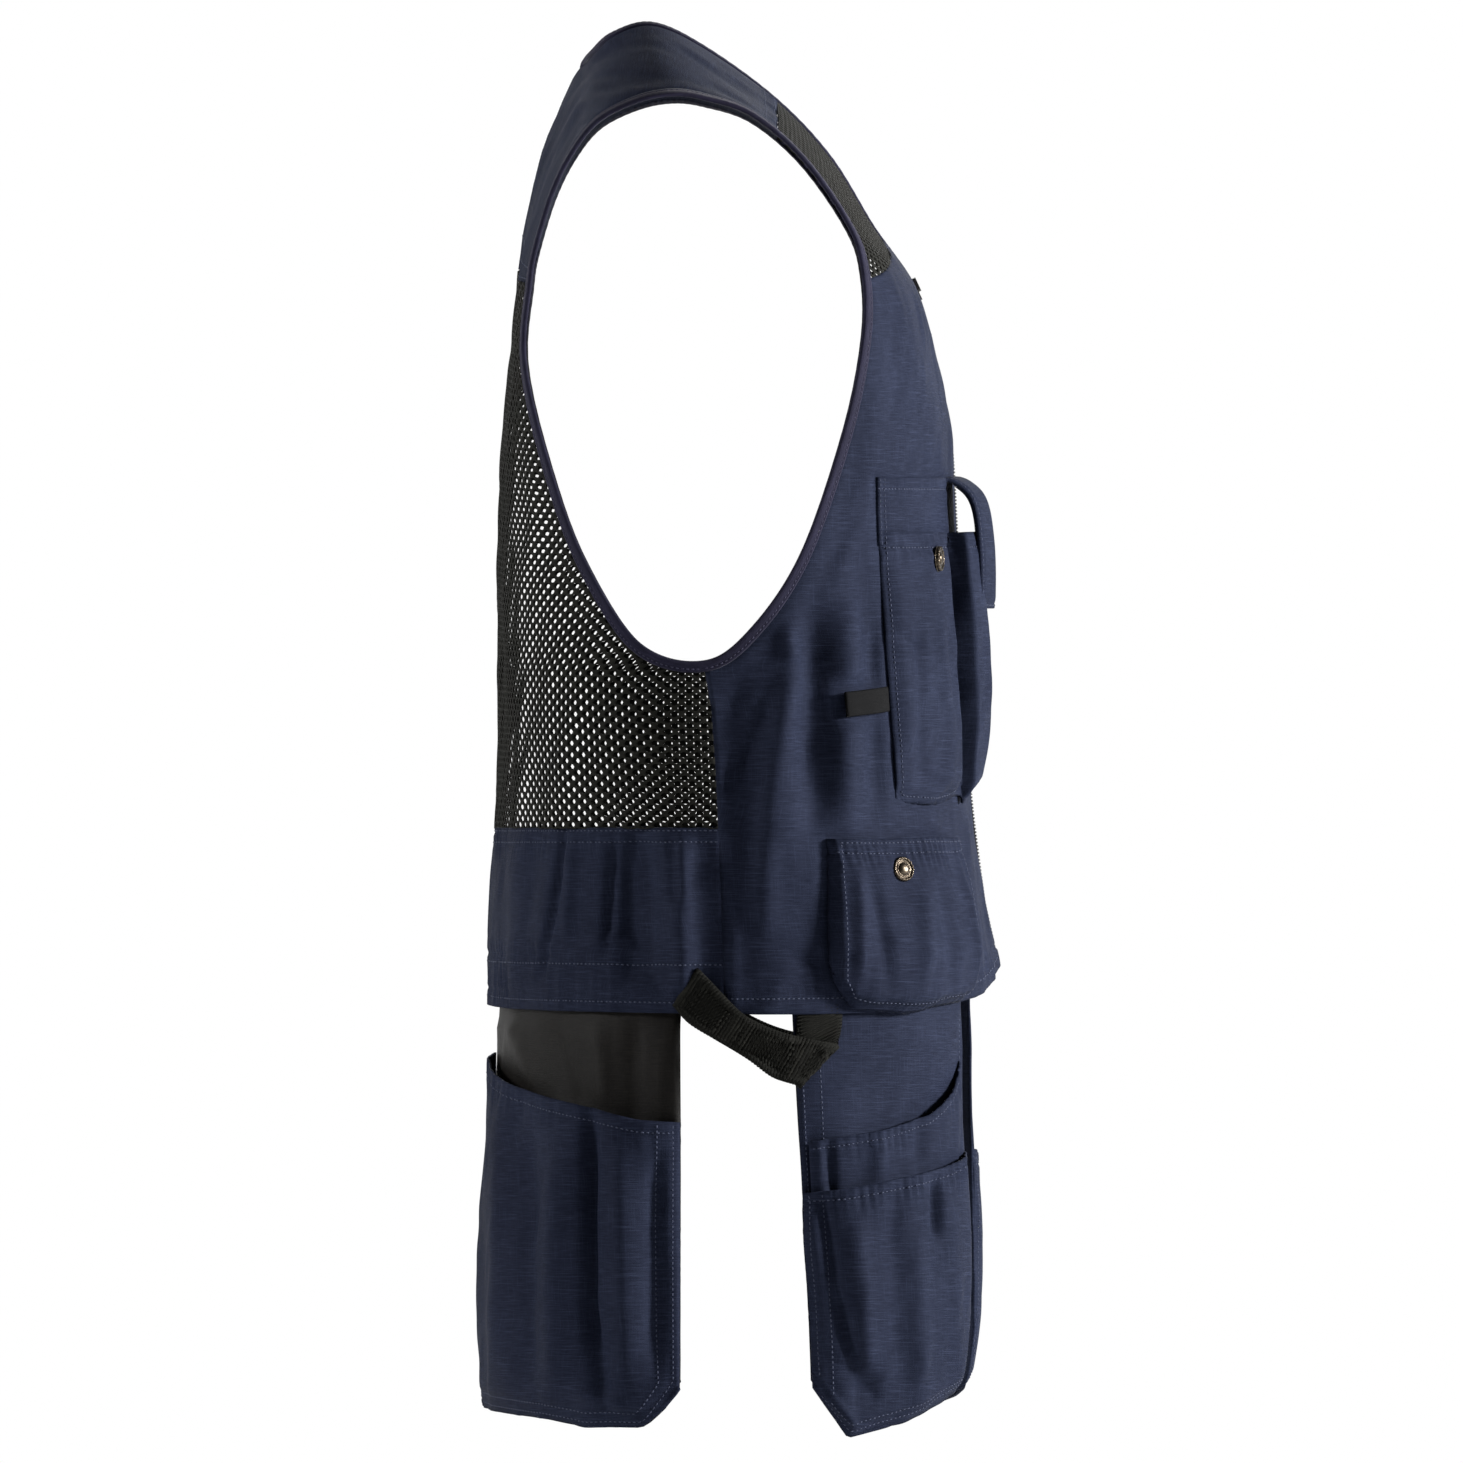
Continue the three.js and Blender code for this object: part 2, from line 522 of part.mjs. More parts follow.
// A solid from one of three's closed geometries.
function fromGeometry(geometry) {
  const plain = geometry.index ? geometry.toNonIndexed() : geometry;
  plain.deleteAttribute('normal');
  plain.deleteAttribute('uv');
  const merged = mergeVertices(plain, 0.001);
  const index = Array.from(merged.index.array);
  const kept = [];
  for (let i = 0; i < index.length; i += 3) {
    const [a, b, c] = index.slice(i, i + 3);
    if (a !== b && b !== c && c !== a) kept.push(a, b, c);
  }
  return solid(merged.attributes.position.array, kept);
}

// A piece of cloth's room: its wall grown by the gap on both faces, to cut from what lies on it.
const room = (quads, inner, outer = 0) => wall(quads, inner - PIECE_GAP, outer + PIECE_GAP);

// Panels of the vest's body: the quads of each, and the same quads grown past their edges by a gap
const ACROSS = steps(8);
const seamRow = (seam, share) => mix(seam.middle, seam.side, share);
const bothSides = (quads) => [...quads, ...mirrorQuads(quads)];

// A point of the cloth, which stops a little way in from an edge that a binding covers.
function clothPoint(number, share) {
  const tuck = EDGE_TUCK / vestPoint(number, 0).distanceTo(vestPoint(number, 1));
  const neck = number > NECK_POINT_ROW && number < BACK_NECK_ROW ? tuck : 0;
  const armhole = number > ARMPIT_ROW && number < BACK_ARMPIT_ROW ? tuck : 0;
  return vestPoint(number, mix(neck, 1 - armhole, share));
}

function panel(rowAt, up, whole) {
  const quads = (trim) => grid((s, v) => clothPoint(rowAt(s, v), s), ACROSS, up, trim);
  const sides = whole ? bothSides : (half) => half;
  return { quads: sides(quads(SEAM_GAP / 2)), grown: sides(quads(SEAM_GAP / 2 - PIECE_GAP)) };
}

// The row in the yoke from its front seam to its back seam, through the back neck's row.
function yokeRow(share, v) {
  const front = seamRow(FRONT_YOKE_SEAM, share);
  const behind = (v - NECK_SHARE) / (1 - NECK_SHARE);
  if (v <= NECK_SHARE) return mix(front, BACK_NECK_ROW, v / NECK_SHARE);
  return mix(BACK_NECK_ROW, BACK_YOKE_ROW, behind);
}

const shoulderRow = (s, v) => mix(seamRow(MESH_SEAM, s), seamRow(FRONT_YOKE_SEAM, s), v);
const frontCloth = panel((s, v) => mix(HEM_ROW, seamRow(MESH_SEAM, s), v), steps(13), false);
const shoulderNet = panel(shoulderRow, steps(4), false);
const yokeCloth = panel(yokeRow, YOKE_SHARES, true);
const backNet = panel((s, v) => mix(BACK_YOKE_ROW, WAIST_ROW, v), steps(8), true);
const waistCloth = panel((s, v) => mix(WAIST_ROW, BACK_HEM_ROW, v), steps(4), true);

// Frames along an edge of the vest, with aside pointing from the edge into the cloth. A closed
// edge meets itself. Into is 1 where the cloth lies to the left of the way along the edge.
function edgeFrames(rowNumbers, share, into, closed = false) {
  const points = rowNumbers.map((number) => vestPoint(number, share));
  const last = points.length - 1;
  return rowNumbers.map((number, i) => {
    const before = points[i > 0 ? i - 1 : closed ? last : 0];
    const after = points[i < last ? i + 1 : closed ? 0 : last];
    const out = vestOutward(number, share);
    const aside = after.clone().sub(before).cross(out).multiplyScalar(-into).normalize();
    return { point: points[i], aside, out };
  });
}

const HALF_BINDING = BINDING_THICKNESS / 2;
const BINDING_MIDDLE = -CLOTH / 2;

// The binding round the armhole, or with other limits the room that it takes from the panels.
function armholeBand(near, far, low, high) {
  const numbers = steps(40).slice(0, -1).map((v) => mix(ARMPIT_ROW, BACK_ARMPIT_ROW, v));
  return band(edgeFrames(numbers, 1, -1, true), near, far, low, high, true);
}

// A binding's body, and the deeper band of room that it takes from the cloth and past its edge.
function bind(bandOf, width) {
  const low = BINDING_MIDDLE - HALF_BINDING;
  const high = BINDING_MIDDLE + HALF_BINDING;
  return {
    body: bandOf(0, width, low, high),
    room: bandOf(-CLEAR_EDGE, width + BINDING_GAP, low - BINDING_ROOM, high + BINDING_ROOM),
  };
}

const armhole = bind(armholeBand, ARMHOLE_BINDING_WIDTH);

// The binding round the neck, from the top of the zip over one shoulder to the other side.
function neckBand(near, far, low, high) {
  const frames = edgeFrames(steps(20).map((v) => mix(NECK_POINT_ROW, BACK_NECK_ROW, v)), 0, 1);
  const flip = (p) => new THREE.Vector3(p.x, -p.y, p.z);
  const back = frames[frames.length - 1];
  back.aside = new THREE.Vector3(back.aside.x, 0, back.aside.z).normalize();
  back.out = new THREE.Vector3(back.out.x, 0, back.out.z).normalize();
  const others = frames.slice(0, -1).reverse().map(({ point, aside, out }) => (
    { point: flip(point), aside: flip(aside), out: flip(out) }));
  return band([...frames, ...others], near, far, low, high);
}

const neck = bind(neckBand, NECK_BINDING_WIDTH);

// A mirrored copy of a closed body, for the wearer's left.
function mirrored(body) {
  const mesh = body.getMesh();
  const vertices = Array.from(mesh.vertProperties, (value, i) => (i % 3 === 1 ? -value : value));
  const order = Array.from(mesh.triVerts, (_, i) => mesh.triVerts[i - (i % 3) + [0, 2, 1][i % 3]]);
  return solid(vertices, order);
}

const armholeRoomLeft = mirrored(armhole.room);
const frontRoom = room(frontCloth.grown, -CLOTH);
const frontRoomLeft = mirrored(frontRoom);
const waistRoom = room(waistCloth.grown, -CLOTH);
const frontSkin = room(frontCloth.quads, DEEP);
const frontPanel = wall(frontCloth.quads, -CLOTH, 0).subtract(armhole.room).subtract(neck.room);
const shoulderMesh = wall(shoulderNet.quads, -MESH_WALL, 0).subtract(armhole.room).subtract(neck.room);
const cutArmholes = (body) => body.subtract(armhole.room).subtract(armholeRoomLeft);
const cutSideSeams = (body) => body.subtract(frontRoom).subtract(frontRoomLeft);
const yoke = cutArmholes(wall(yokeCloth.quads, -CLOTH, 0)).subtract(neck.room);
const backMesh = cutSideSeams(cutArmholes(wall(backNet.quads, -MESH_WALL, 0)));
const waistPanel = cutSideSeams(wall(waistCloth.quads, -CLOTH, 0));

// The zip and its slider

// Frames down the middle of the front, with aside pointing to the wearer's right.
function zipFrames(rowNumbers) {
  return rowNumbers.map((number) => {
    const edge = vestPoint(number, 0);
    const above = vestPoint(number + 0.05, 0);
    const up = new THREE.Vector3(above.x - edge.x, 0, above.z - edge.z).normalize();
    const aside = new THREE.Vector3(0, -1, 0);
    const out = aside.clone().cross(up).negate().normalize();
    return { point: new THREE.Vector3(edge.x, 0, edge.z), aside, out };
  });
}

const zipRows = steps(12).map((v) => mix(ZIP_ROWS.foot, ZIP_ROWS.head, v));
const zip = band(zipFrames(zipRows), -ZIP_HALF_WIDTH, ZIP_HALF_WIDTH, -(CLOTH + ZIP_THICKNESS) / 2,
  -(CLOTH - ZIP_THICKNESS) / 2);

// A plate with rounded corners, its back on z = 0, centred over its top edge at the origin.
function plate(width, length, thickness, corner) {
  const outline = new THREE.Shape();
  const half = width / 2;
  outline.moveTo(-half + corner, 0);
  outline.lineTo(half - corner, 0);
  outline.quadraticCurveTo(half, 0, half, -corner);
  outline.lineTo(half, corner - length);
  outline.quadraticCurveTo(half, -length, half - corner, -length);
  outline.lineTo(corner - half, -length);
  outline.quadraticCurveTo(-half, -length, -half, corner - length);
  outline.lineTo(-half, -corner);
  outline.quadraticCurveTo(-half, 0, -half + corner, 0);
  return new THREE.ExtrudeGeometry(outline, { depth: thickness, bevelEnabled: false, curveSegments: 2 });
}

// Turns a geometry whose up is +Y and whose face is +Z to lie on a frame.
function seat(geometry, point, up, out) {
  const across = up.clone().cross(out);
  geometry.applyMatrix4(new THREE.Matrix4().makeBasis(across, up, out));
  geometry.translate(point.x, point.y, point.z);
  return fromGeometry(geometry);
}

function makeSlider() {
  const { point, aside, out } = zipFrames([ZIP_ROWS.slider])[0];
  const up = aside.clone().cross(out);
  const face = (ZIP_THICKNESS - CLOTH) / 2 + PIECE_GAP;
  const top = point.clone().addScaledVector(out, face).addScaledVector(up, SLIDER_LENGTH / 2);
  const body = seat(plate(SLIDER_WIDTH, SLIDER_LENGTH, SLIDER_THICKNESS, SLIDER_CORNER), top, up, out);
  top.addScaledVector(up, -PULL_DROP);
  return body.add(seat(plate(PULL_WIDTH, PULL_LENGTH, PULL_THICKNESS, PULL_CORNER), top, up, out));
}

// Chest patch, pocket, flap, snap and label

const patchQuads = grid((u, v) => {
  const z = PATCH_HEIGHT * v - PATCH_OVERLAP - CHEST_POCKET_TOP;
  return offBody(mix(PATCH_FRONT_TURN, CHEST_REAR_TURN, u), z, CLOTH);
}, steps(5), steps(3));
const chestPatch = wall(patchQuads, -2 * CLOTH, 0).subtract(frontSkin);

// A point of the chest pocket's face: share across from its front to its rear edge, share up.
function chestFace(u, v) {
  const { proud, rise } = read(CHEST_ACROSS, u);
  const z = -(CHEST_POCKET_TOP + CHEST_POCKET_HEIGHT * (1 - rise) * (1 - v));
  const off = CHEST_POCKET_DEPTH * proud * read(CHEST_UP, v).proud;
  return offBody(mix(CHEST_FRONT_TURN, CHEST_REAR_TURN, u), z, off + CLOTH);
}

const chestQuads = grid(chestFace, shares(CHEST_ACROSS), shares(CHEST_UP));
const chestPocket = wall(chestQuads, -CLOTH, 0).subtract(frontSkin).subtract(room(patchQuads, DEEP));

// The flap springs from the chest above the pocket, arches forward and hangs before its mouth.
function makeFlap() {
  const top = FLAP_RISE - CHEST_POCKET_TOP;
  const anchor = offBody(CHEST_FRONT_TURN, top, 0).x;
  const path = new THREE.CatmullRomCurve3(FLAP_PATH.map((row) => (
    new THREE.Vector3(anchor + row.forward * FLAP_REACH, 0, top - row.down * FLAP_LENGTH))));
  const swing = (share) => (share - 0.5) * FLAP_WIDTH;
  const quads = grid((u, v) => {
    const point = path.getPoint(1 - v);
    const droop = FLAP_DROOP * Math.abs(swing(u));
    return new THREE.Vector3(point.x - droop, -FLAP_MIDDLE - swing(u), point.z);
  }, steps(3), steps(12));
  return wall(quads, -FLAP_THICKNESS, 0).subtract(frontSkin);
}

// A press stud: a domed button inside a raised rim, its back on the cloth.
function makeSnap(point, out) {
  const profile = SNAP_PROFILE.map(({ radius, height }) => (
    new THREE.Vector2(radius * SNAP_RADIUS, height * SNAP_HEIGHT)));
  const geometry = new THREE.LatheGeometry(profile, 10);
  geometry.applyQuaternion(new THREE.Quaternion().setFromUnitVectors(new THREE.Vector3(0, 1, 0), out));
  geometry.translate(point.x, point.y, point.z);
  return fromGeometry(geometry);
}

// A face's outward direction at its two shares.
function faceOut(face, u, v) {
  const small = 0.03;
  const across = face(u + small, v).sub(face(u - small, v));
  const up = face(u, v + small).sub(face(u, v - small));
  return across.cross(up.negate()).normalize();
}

function seatSnap(face, place, quads) {
  const out = faceOut(face, place.across, place.up);
  const point = face(place.across, place.up).addScaledVector(out, -SNAP_SINK);
  return makeSnap(point, out).subtract(room(quads, DEEP));
}

// The label is a bare folded tab, sewn into the pocket's rear seam.
const labelQuads = grid((u, v) => {
  const z = -(LABEL_DROP + LABEL_HEIGHT * (1 - v));
  const turn = CHEST_REAR_TURN + LABEL_GAP + u * LABEL_SWEEP;
  return offBody(turn, z, LABEL_THICKNESS + PIECE_GAP + LABEL_STAND * Math.sin(u * Math.PI * 0.5));
}, steps(4), steps(2));
const label = wall(labelQuads, -LABEL_THICKNESS, 0).subtract(frontSkin);

// Lower pocket

function lowerFace(u, v) {
  const { proud, rise } = read(LOWER_ACROSS, u);
  const z = -(LOWER_POCKET_TOP + LOWER_POCKET_HEIGHT * (1 - rise) * (1 - v));
  const off = LOWER_POCKET_DEPTH * proud * read(LOWER_UP, v).proud;
  return offBody(mix(LOWER_FRONT_TURN, LOWER_REAR_TURN, u), z, off + CLOTH);
}

const lowerQuads = grid(lowerFace, shares(LOWER_ACROSS), shares(LOWER_UP));
const lowerPocket = wall(lowerQuads, -CLOTH, 0).subtract(frontSkin);

// Holsters: a backing that is tucked up behind the hem, with open layers of cloth sewn on its face

// A point of a holster: u runs from its front edge to its rear edge, depth is a share of its length.
// Its rear edge swings forward on the way down.
function holsterPoint(turns, inset, length, u, depth, off) {
  const z = -(HEM_DEPTH + length * depth);
  const rear = turns.rear - turns.swing * Math.max(depth, 0);
  return offBody(mix(turns.front, rear, u), z, off - inset);
}

// A holster's backing, from above the hem to its bottom edge.
function backingQuads(turns, inset, length, rows, bottomColumn) {
  return grid((u, v) => {
    const bottom = read(rows, u)[bottomColumn];
    return holsterPoint(turns, inset, length, u, mix(bottom, -TUCK / length, v), 0);
  }, shares(rows), steps(5));
}

// A holster layer's face from its bottom seam to its mouth. Lift is how far it stands off at most.
function layerQuads(turns, inset, length, rows, mouthColumn, lift, margin = 0) {
  return grid((u, v) => {
    const row = read(rows, u);
    const up = read(HOLSTER_UP, v).proud;
    const depth = mix(row.bottom - margin, row[mouthColumn], v);
    const across = mix(margin, 1 - margin, u);
    return holsterPoint(turns, inset, length, across, depth, lift * row.proud * up + CLOTH);
  }, shares(rows), shares(HOLSTER_UP));
}

function frontHolster(frontTurn) {
  const turns = { front: frontTurn, rear: FRONT_HOLSTER_REAR_TURN, swing: FRONT_HOLSTER_SWING };
  const args = [turns, FRONT_BACKING_INSET, FRONT_HOLSTER_LENGTH, FRONT_HOLSTER];
  const backing = backingQuads(...args, 'bottom');
  const inner = layerQuads(...args, 'inner', INNER_LAYER_DEPTH, INNER_LAYER_MARGIN);
  const outer = layerQuads(...args, 'outer', FRONT_HOLSTER_DEPTH);
  const innerLayer = wall(inner, -CLOTH, 0).subtract(room(backing, DEEP));
  const outerLayer = wall(outer, -CLOTH, 0).subtract(room(backing, DEEP)).subtract(room(inner, -CLOTH));
  return { back: wall(backing, -CLOTH, 0), inner: innerLayer, outer: outerLayer, backing };
}

function rearHolster() {
  const turns = { front: REAR_HOLSTER_FRONT_TURN, rear: REAR_HOLSTER_REAR_TURN, swing: 0 };
  const args = [turns, REAR_BACKING_INSET, REAR_HOLSTER_LENGTH, REAR_HOLSTER];
  const backing = backingQuads(...args, 'bottom');
  const face = layerQuads(...args, 'mouth', REAR_HOLSTER_DEPTH);
  const lining = wall(backing, -CLOTH, 0).subtract(waistRoom).subtract(frontRoom);
  return { lining, bag: wall(face, -CLOTH, 0).subtract(room(backing, DEEP)) };
}

// The webbing tool loop: one band from its cut end on the waist panel down to a fold and up behind
// the hem in front of the holster.
function makeLoop(holsterBacking) {
  const seamX = vestPoint(BACK_HEM_ROW, 1).x;
  const path = (name) => new THREE.CatmullRomCurve3(LOOP.map((row) => {
    const x = seamX + row[`${name}X`] * WEBBING_WIDTH;
    return new THREE.Vector3(x, row.off * WEBBING, row[`${name}Z`] * WEBBING_WIDTH - HEM_DEPTH);
  }));
  const edges = { front: path('front'), rear: path('rear') };
  const quads = grid((u, v) => {
    const at = edges.front.getPoint(v).lerp(edges.rear.getPoint(v), u);
    const turn = THREE.MathUtils.radToDeg(angleAt(at.x, at.z));
    return offBody(turn, at.z, at.y + WEBBING / 2);
  }, steps(2), steps(16));
  return wall(quads, -WEBBING / 2, WEBBING / 2).subtract(waistRoom).subtract(frontRoom)
    .subtract(room(holsterBacking, -CLOTH));
}

const vest = new THREE.Group();

// Adds a piece as a mesh with its own material, mirrored for the wearer's left.
function addPiece(name, body, material, mirror = false) {
  const mesh = (mirror ? mirrored(body) : body).getMesh();
  const geometry = new THREE.BufferGeometry();
  const positions = Float32Array.from(mesh.vertProperties);
  geometry.setAttribute('position', new THREE.BufferAttribute(positions, 3));
  geometry.setIndex(Array.from(mesh.triVerts));
  geometry.computeVertexNormals();
  const piece = new THREE.Mesh(geometry, materials[material].clone());
  piece.name = name;
  vest.add(piece);
}

addPiece('yoke', yoke, 'navy');
addPiece('back_mesh', backMesh, 'mesh');
addPiece('waist_panel', waistPanel, 'navy');
addPiece('neck_binding', neck.body, 'bindingNavy');
addPiece('front_zip', zip, 'black');
addPiece('zip_slider', makeSlider(), 'black');
addPiece('side_label', label, 'black');

const chestFlap = makeFlap();
const chestSnap = seatSnap(chestFace, CHEST_SNAP, chestQuads);
const lowerSnap = seatSnap(lowerFace, LOWER_SNAP, lowerQuads);
const rear = rearHolster();

SIDES.forEach(({ side, mirror, holsterFrontTurn }) => {
  const front = frontHolster(holsterFrontTurn);
  addPiece(`front_panel_${side}`, frontPanel, 'navy', mirror);
  addPiece(`shoulder_mesh_${side}`, shoulderMesh, 'mesh', mirror);
  addPiece(`armhole_binding_${side}`, armhole.body, 'bindingNavy', mirror);
  addPiece(`chest_patch_${side}`, chestPatch, 'navy', mirror);
  addPiece(`chest_pocket_${side}`, chestPocket, 'navy', mirror);
  addPiece(`chest_flap_${side}`, chestFlap, 'navy', mirror);
  addPiece(`chest_snap_${side}`, chestSnap, 'brass', mirror);
  addPiece(`lower_pocket_${side}`, lowerPocket, 'navy', mirror);
  addPiece(`lower_snap_${side}`, lowerSnap, 'brass', mirror);
  addPiece(`front_holster_back_${side}`, front.back, 'navy', mirror);
  addPiece(`front_holster_inner_${side}`, front.inner, 'navy', mirror);
  addPiece(`front_holster_outer_${side}`, front.outer, 'navy', mirror);
  addPiece(`rear_holster_lining_${side}`, rear.lining, 'lining', mirror);
  addPiece(`rear_holster_bag_${side}`, rear.bag, 'navy', mirror);
  addPiece(`tool_loop_${side}`, makeLoop(front.backing), 'webbing', mirror);
});

export default vest;
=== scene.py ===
"""Looks of a utility work vest: canvas, net, bindings, pockets, holsters, webbing and studs."""
import math

import bmesh
import bpy
import numpy as np
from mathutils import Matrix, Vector


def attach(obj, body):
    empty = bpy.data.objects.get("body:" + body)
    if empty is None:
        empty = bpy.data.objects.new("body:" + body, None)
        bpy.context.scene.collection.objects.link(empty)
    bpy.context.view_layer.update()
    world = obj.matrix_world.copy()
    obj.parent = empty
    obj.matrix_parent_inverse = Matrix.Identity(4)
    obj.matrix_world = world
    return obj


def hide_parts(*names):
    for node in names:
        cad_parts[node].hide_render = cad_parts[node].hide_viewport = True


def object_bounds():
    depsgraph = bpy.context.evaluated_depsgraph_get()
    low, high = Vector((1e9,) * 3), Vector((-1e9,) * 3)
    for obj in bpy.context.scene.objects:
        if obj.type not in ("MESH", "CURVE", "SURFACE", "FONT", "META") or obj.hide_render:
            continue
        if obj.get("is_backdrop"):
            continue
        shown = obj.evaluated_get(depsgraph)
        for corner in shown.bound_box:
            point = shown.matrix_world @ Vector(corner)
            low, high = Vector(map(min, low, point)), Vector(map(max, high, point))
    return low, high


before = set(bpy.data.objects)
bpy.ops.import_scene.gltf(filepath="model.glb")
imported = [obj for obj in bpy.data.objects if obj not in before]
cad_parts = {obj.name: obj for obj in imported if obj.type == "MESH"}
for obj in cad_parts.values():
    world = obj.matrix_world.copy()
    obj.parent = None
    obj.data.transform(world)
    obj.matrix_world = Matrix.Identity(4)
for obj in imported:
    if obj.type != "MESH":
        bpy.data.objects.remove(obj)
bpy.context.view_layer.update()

# Camera, lights and floor
# The camera stands far off, level with the vest's middle and square to its right side. Soft lights
# stand before, behind and beyond the vest, and a pale floor lies a little under the holsters.
VIEW_WIDTH = 0.8778
VIEW_MIDDLE = (0.0369, -0.3969)
LENS = 1400
SENSOR = 36
FLOOR_HEIGHT = -0.9
FLOOR_SIZE = 5.0

camera = bpy.data.objects.new("camera", bpy.data.cameras.new("camera"))
camera.data.lens = LENS
camera.data.sensor_width = SENSOR
camera.data.clip_end = 100
camera.location = (VIEW_MIDDLE[0], -VIEW_WIDTH * LENS / SENSOR, VIEW_MIDDLE[1])
camera.rotation_euler = (math.pi / 2, 0, 0)
bpy.context.collection.objects.link(camera)
bpy.context.scene.camera = camera


def softbox(name, place, aim, size, power):
    """A square area light at a place, turned to shine at its aim."""
    light = bpy.data.objects.new(name, bpy.data.lights.new(name, "AREA"))
    light.data.size = size
    light.data.energy = power
    light.location = place
    way = Vector(aim) - light.location
    light.rotation_euler = way.to_track_quat("-Z", "Y").to_euler()
    bpy.context.collection.objects.link(light)


softbox("light_front", (3.0, -0.5, 0.25), (0.05, 0.0, -0.35), 0.6, 430)
softbox("light_back", (-2.6, -0.6, 0.5), (0.0, 0.0, -0.45), 0.6, 105)
softbox("light_far_side", (0.2, 2.4, 0.8), (0.0, 0.0, -0.4), 1.4, 40)

# The studio is white behind the vest and dims towards the camera's side.
world = bpy.data.worlds.new("studio")
world.use_nodes = True
backdrop = world.node_tree.nodes["Background"]
backdrop.inputs["Color"].default_value = (1.0, 1.0, 1.0, 1.0)
way = world.node_tree.nodes.new("ShaderNodeTexCoord")
parts = world.node_tree.nodes.new("ShaderNodeSeparateXYZ")
fall = world.node_tree.nodes.new("ShaderNodeMapRange")
fall.interpolation_type = "SMOOTHSTEP"
fall.inputs["From Min"].default_value = -0.3
fall.inputs["From Max"].default_value = 0.8
fall.inputs["To Min"].default_value = 0.2
world.node_tree.links.new(way.outputs["Generated"], parts.inputs["Vector"])
world.node_tree.links.new(parts.outputs["Y"], fall.inputs["Value"])
world.node_tree.links.new(fall.outputs["Result"], backdrop.inputs["Strength"])
bpy.context.scene.world = world
bpy.context.scene.view_settings.view_transform = "Standard"


def new_mesh(name, points, faces):
    """A mesh object at the origin from points and the point numbers of its faces."""
    mesh = bpy.data.meshes.new(name)
    mesh.from_pydata(points.tolist(), [], faces.tolist())
    mesh.polygons.foreach_set("use_smooth", np.ones(len(mesh.polygons), bool))
    piece = bpy.data.objects.new(name, mesh)
    bpy.context.collection.objects.link(piece)
    return piece


half_floor = FLOOR_SIZE / 2
floor_corners = np.array([[-1, -1], [1, -1], [1, 1], [-1, 1]]) * half_floor
floor_points = np.column_stack([floor_corners, np.full(4, FLOOR_HEIGHT)])
floor = new_mesh("floor", floor_points, np.array([[0, 1, 2, 3]]))
floor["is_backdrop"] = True


def finish_material(name, colour, roughness, metallic=0.0, sheen=0.0, gloss=0.1):
    """A material with a Principled shader whose plain values are set on its own sockets."""
    material = bpy.data.materials.new(name)
    material.use_nodes = True
    shader = material.node_tree.nodes["Principled BSDF"]
    shader.inputs["Base Color"].default_value = (*colour, 1.0)
    shader.inputs["Roughness"].default_value = roughness
    shader.inputs["Metallic"].default_value = metallic
    shader.inputs["Sheen Weight"].default_value = sheen
    shader.inputs["Specular IOR Level"].default_value = gloss
    return material


floor.data.materials.append(finish_material("pale_floor", (0.8, 0.8, 0.79), 0.7))

# Front panels
# Each front is one piece of slubbed navy canvas from the zip to the side seam, hemmed at its foot.
# It hangs straight from the chest with soft upright folds below the armhole.
VEST_DEPTH = 0.304
BODY_LENGTH = 0.596
HALF_WIDTH = 0.215
NECK_TOP = 0.0276
CLOTH = 0.0015
ROUNDING = 0.6
FOLD_DEPTH = 0.005
FRONT_EDGE = 0.006
EDGE_TUCK = 0.003


def columns(names, rows):
    """A table as one array for each named column."""
    return dict(zip(names.split(), np.array(rows, float).T))


# Sections of the body: down is a share of BODY_LENGTH, front, axis and back of VEST_DEPTH, half of
# HALF_WIDTH. Round is the exponent of the curve in front of the axis, square the one behind it.
TORSO = columns("down front axis back half round square", [
    [0.080, 0.230, 0.015, -0.222, 0.950, 3.9, 4.6],
    [0.134, 0.325, 0.020, -0.258, 0.955, 4.2, 5.6],
    [0.205, 0.407, 0.028, -0.285, 0.955, 4.1, 6.0],
    [0.257, 0.473, 0.034, -0.298, 0.955, 3.4, 6.0],
    [0.313, 0.513, 0.040, -0.309, 0.960, 2.9, 5.6],
    [0.409, 0.551, 0.048, -0.327, 0.970, 2.5, 4.0],
    [0.499, 0.564, 0.056, -0.337, 0.980, 2.3, 2.8],
    [0.580, 0.570, 0.062, -0.339, 0.990, 2.3, 2.6],
    [0.661, 0.578, 0.072, -0.339, 1.000, 2.3, 2.5],
    [0.781, 0.594, 0.093, -0.341, 0.990, 2.3, 2.5],
    [0.882, 0.619, 0.101, -0.353, 0.985, 2.3, 2.5],
    [0.948, 0.645, 0.104, -0.356, 0.990, 2.3, 2.5],
    [1.000, 0.650, 0.107, -0.357, 0.990, 2.3, 2.5],
    [1.100, 0.650, 0.107, -0.361, 0.990, 2.3, 2.5],
    [1.200, 0.655, 0.107, -0.374, 0.990, 2.3, 2.5],
    [1.320, 0.655, 0.107, -0.383, 0.990, 2.3, 2.5],
    [1.450, 0.650, 0.107, -0.382, 0.990, 2.3, 2.5],
])

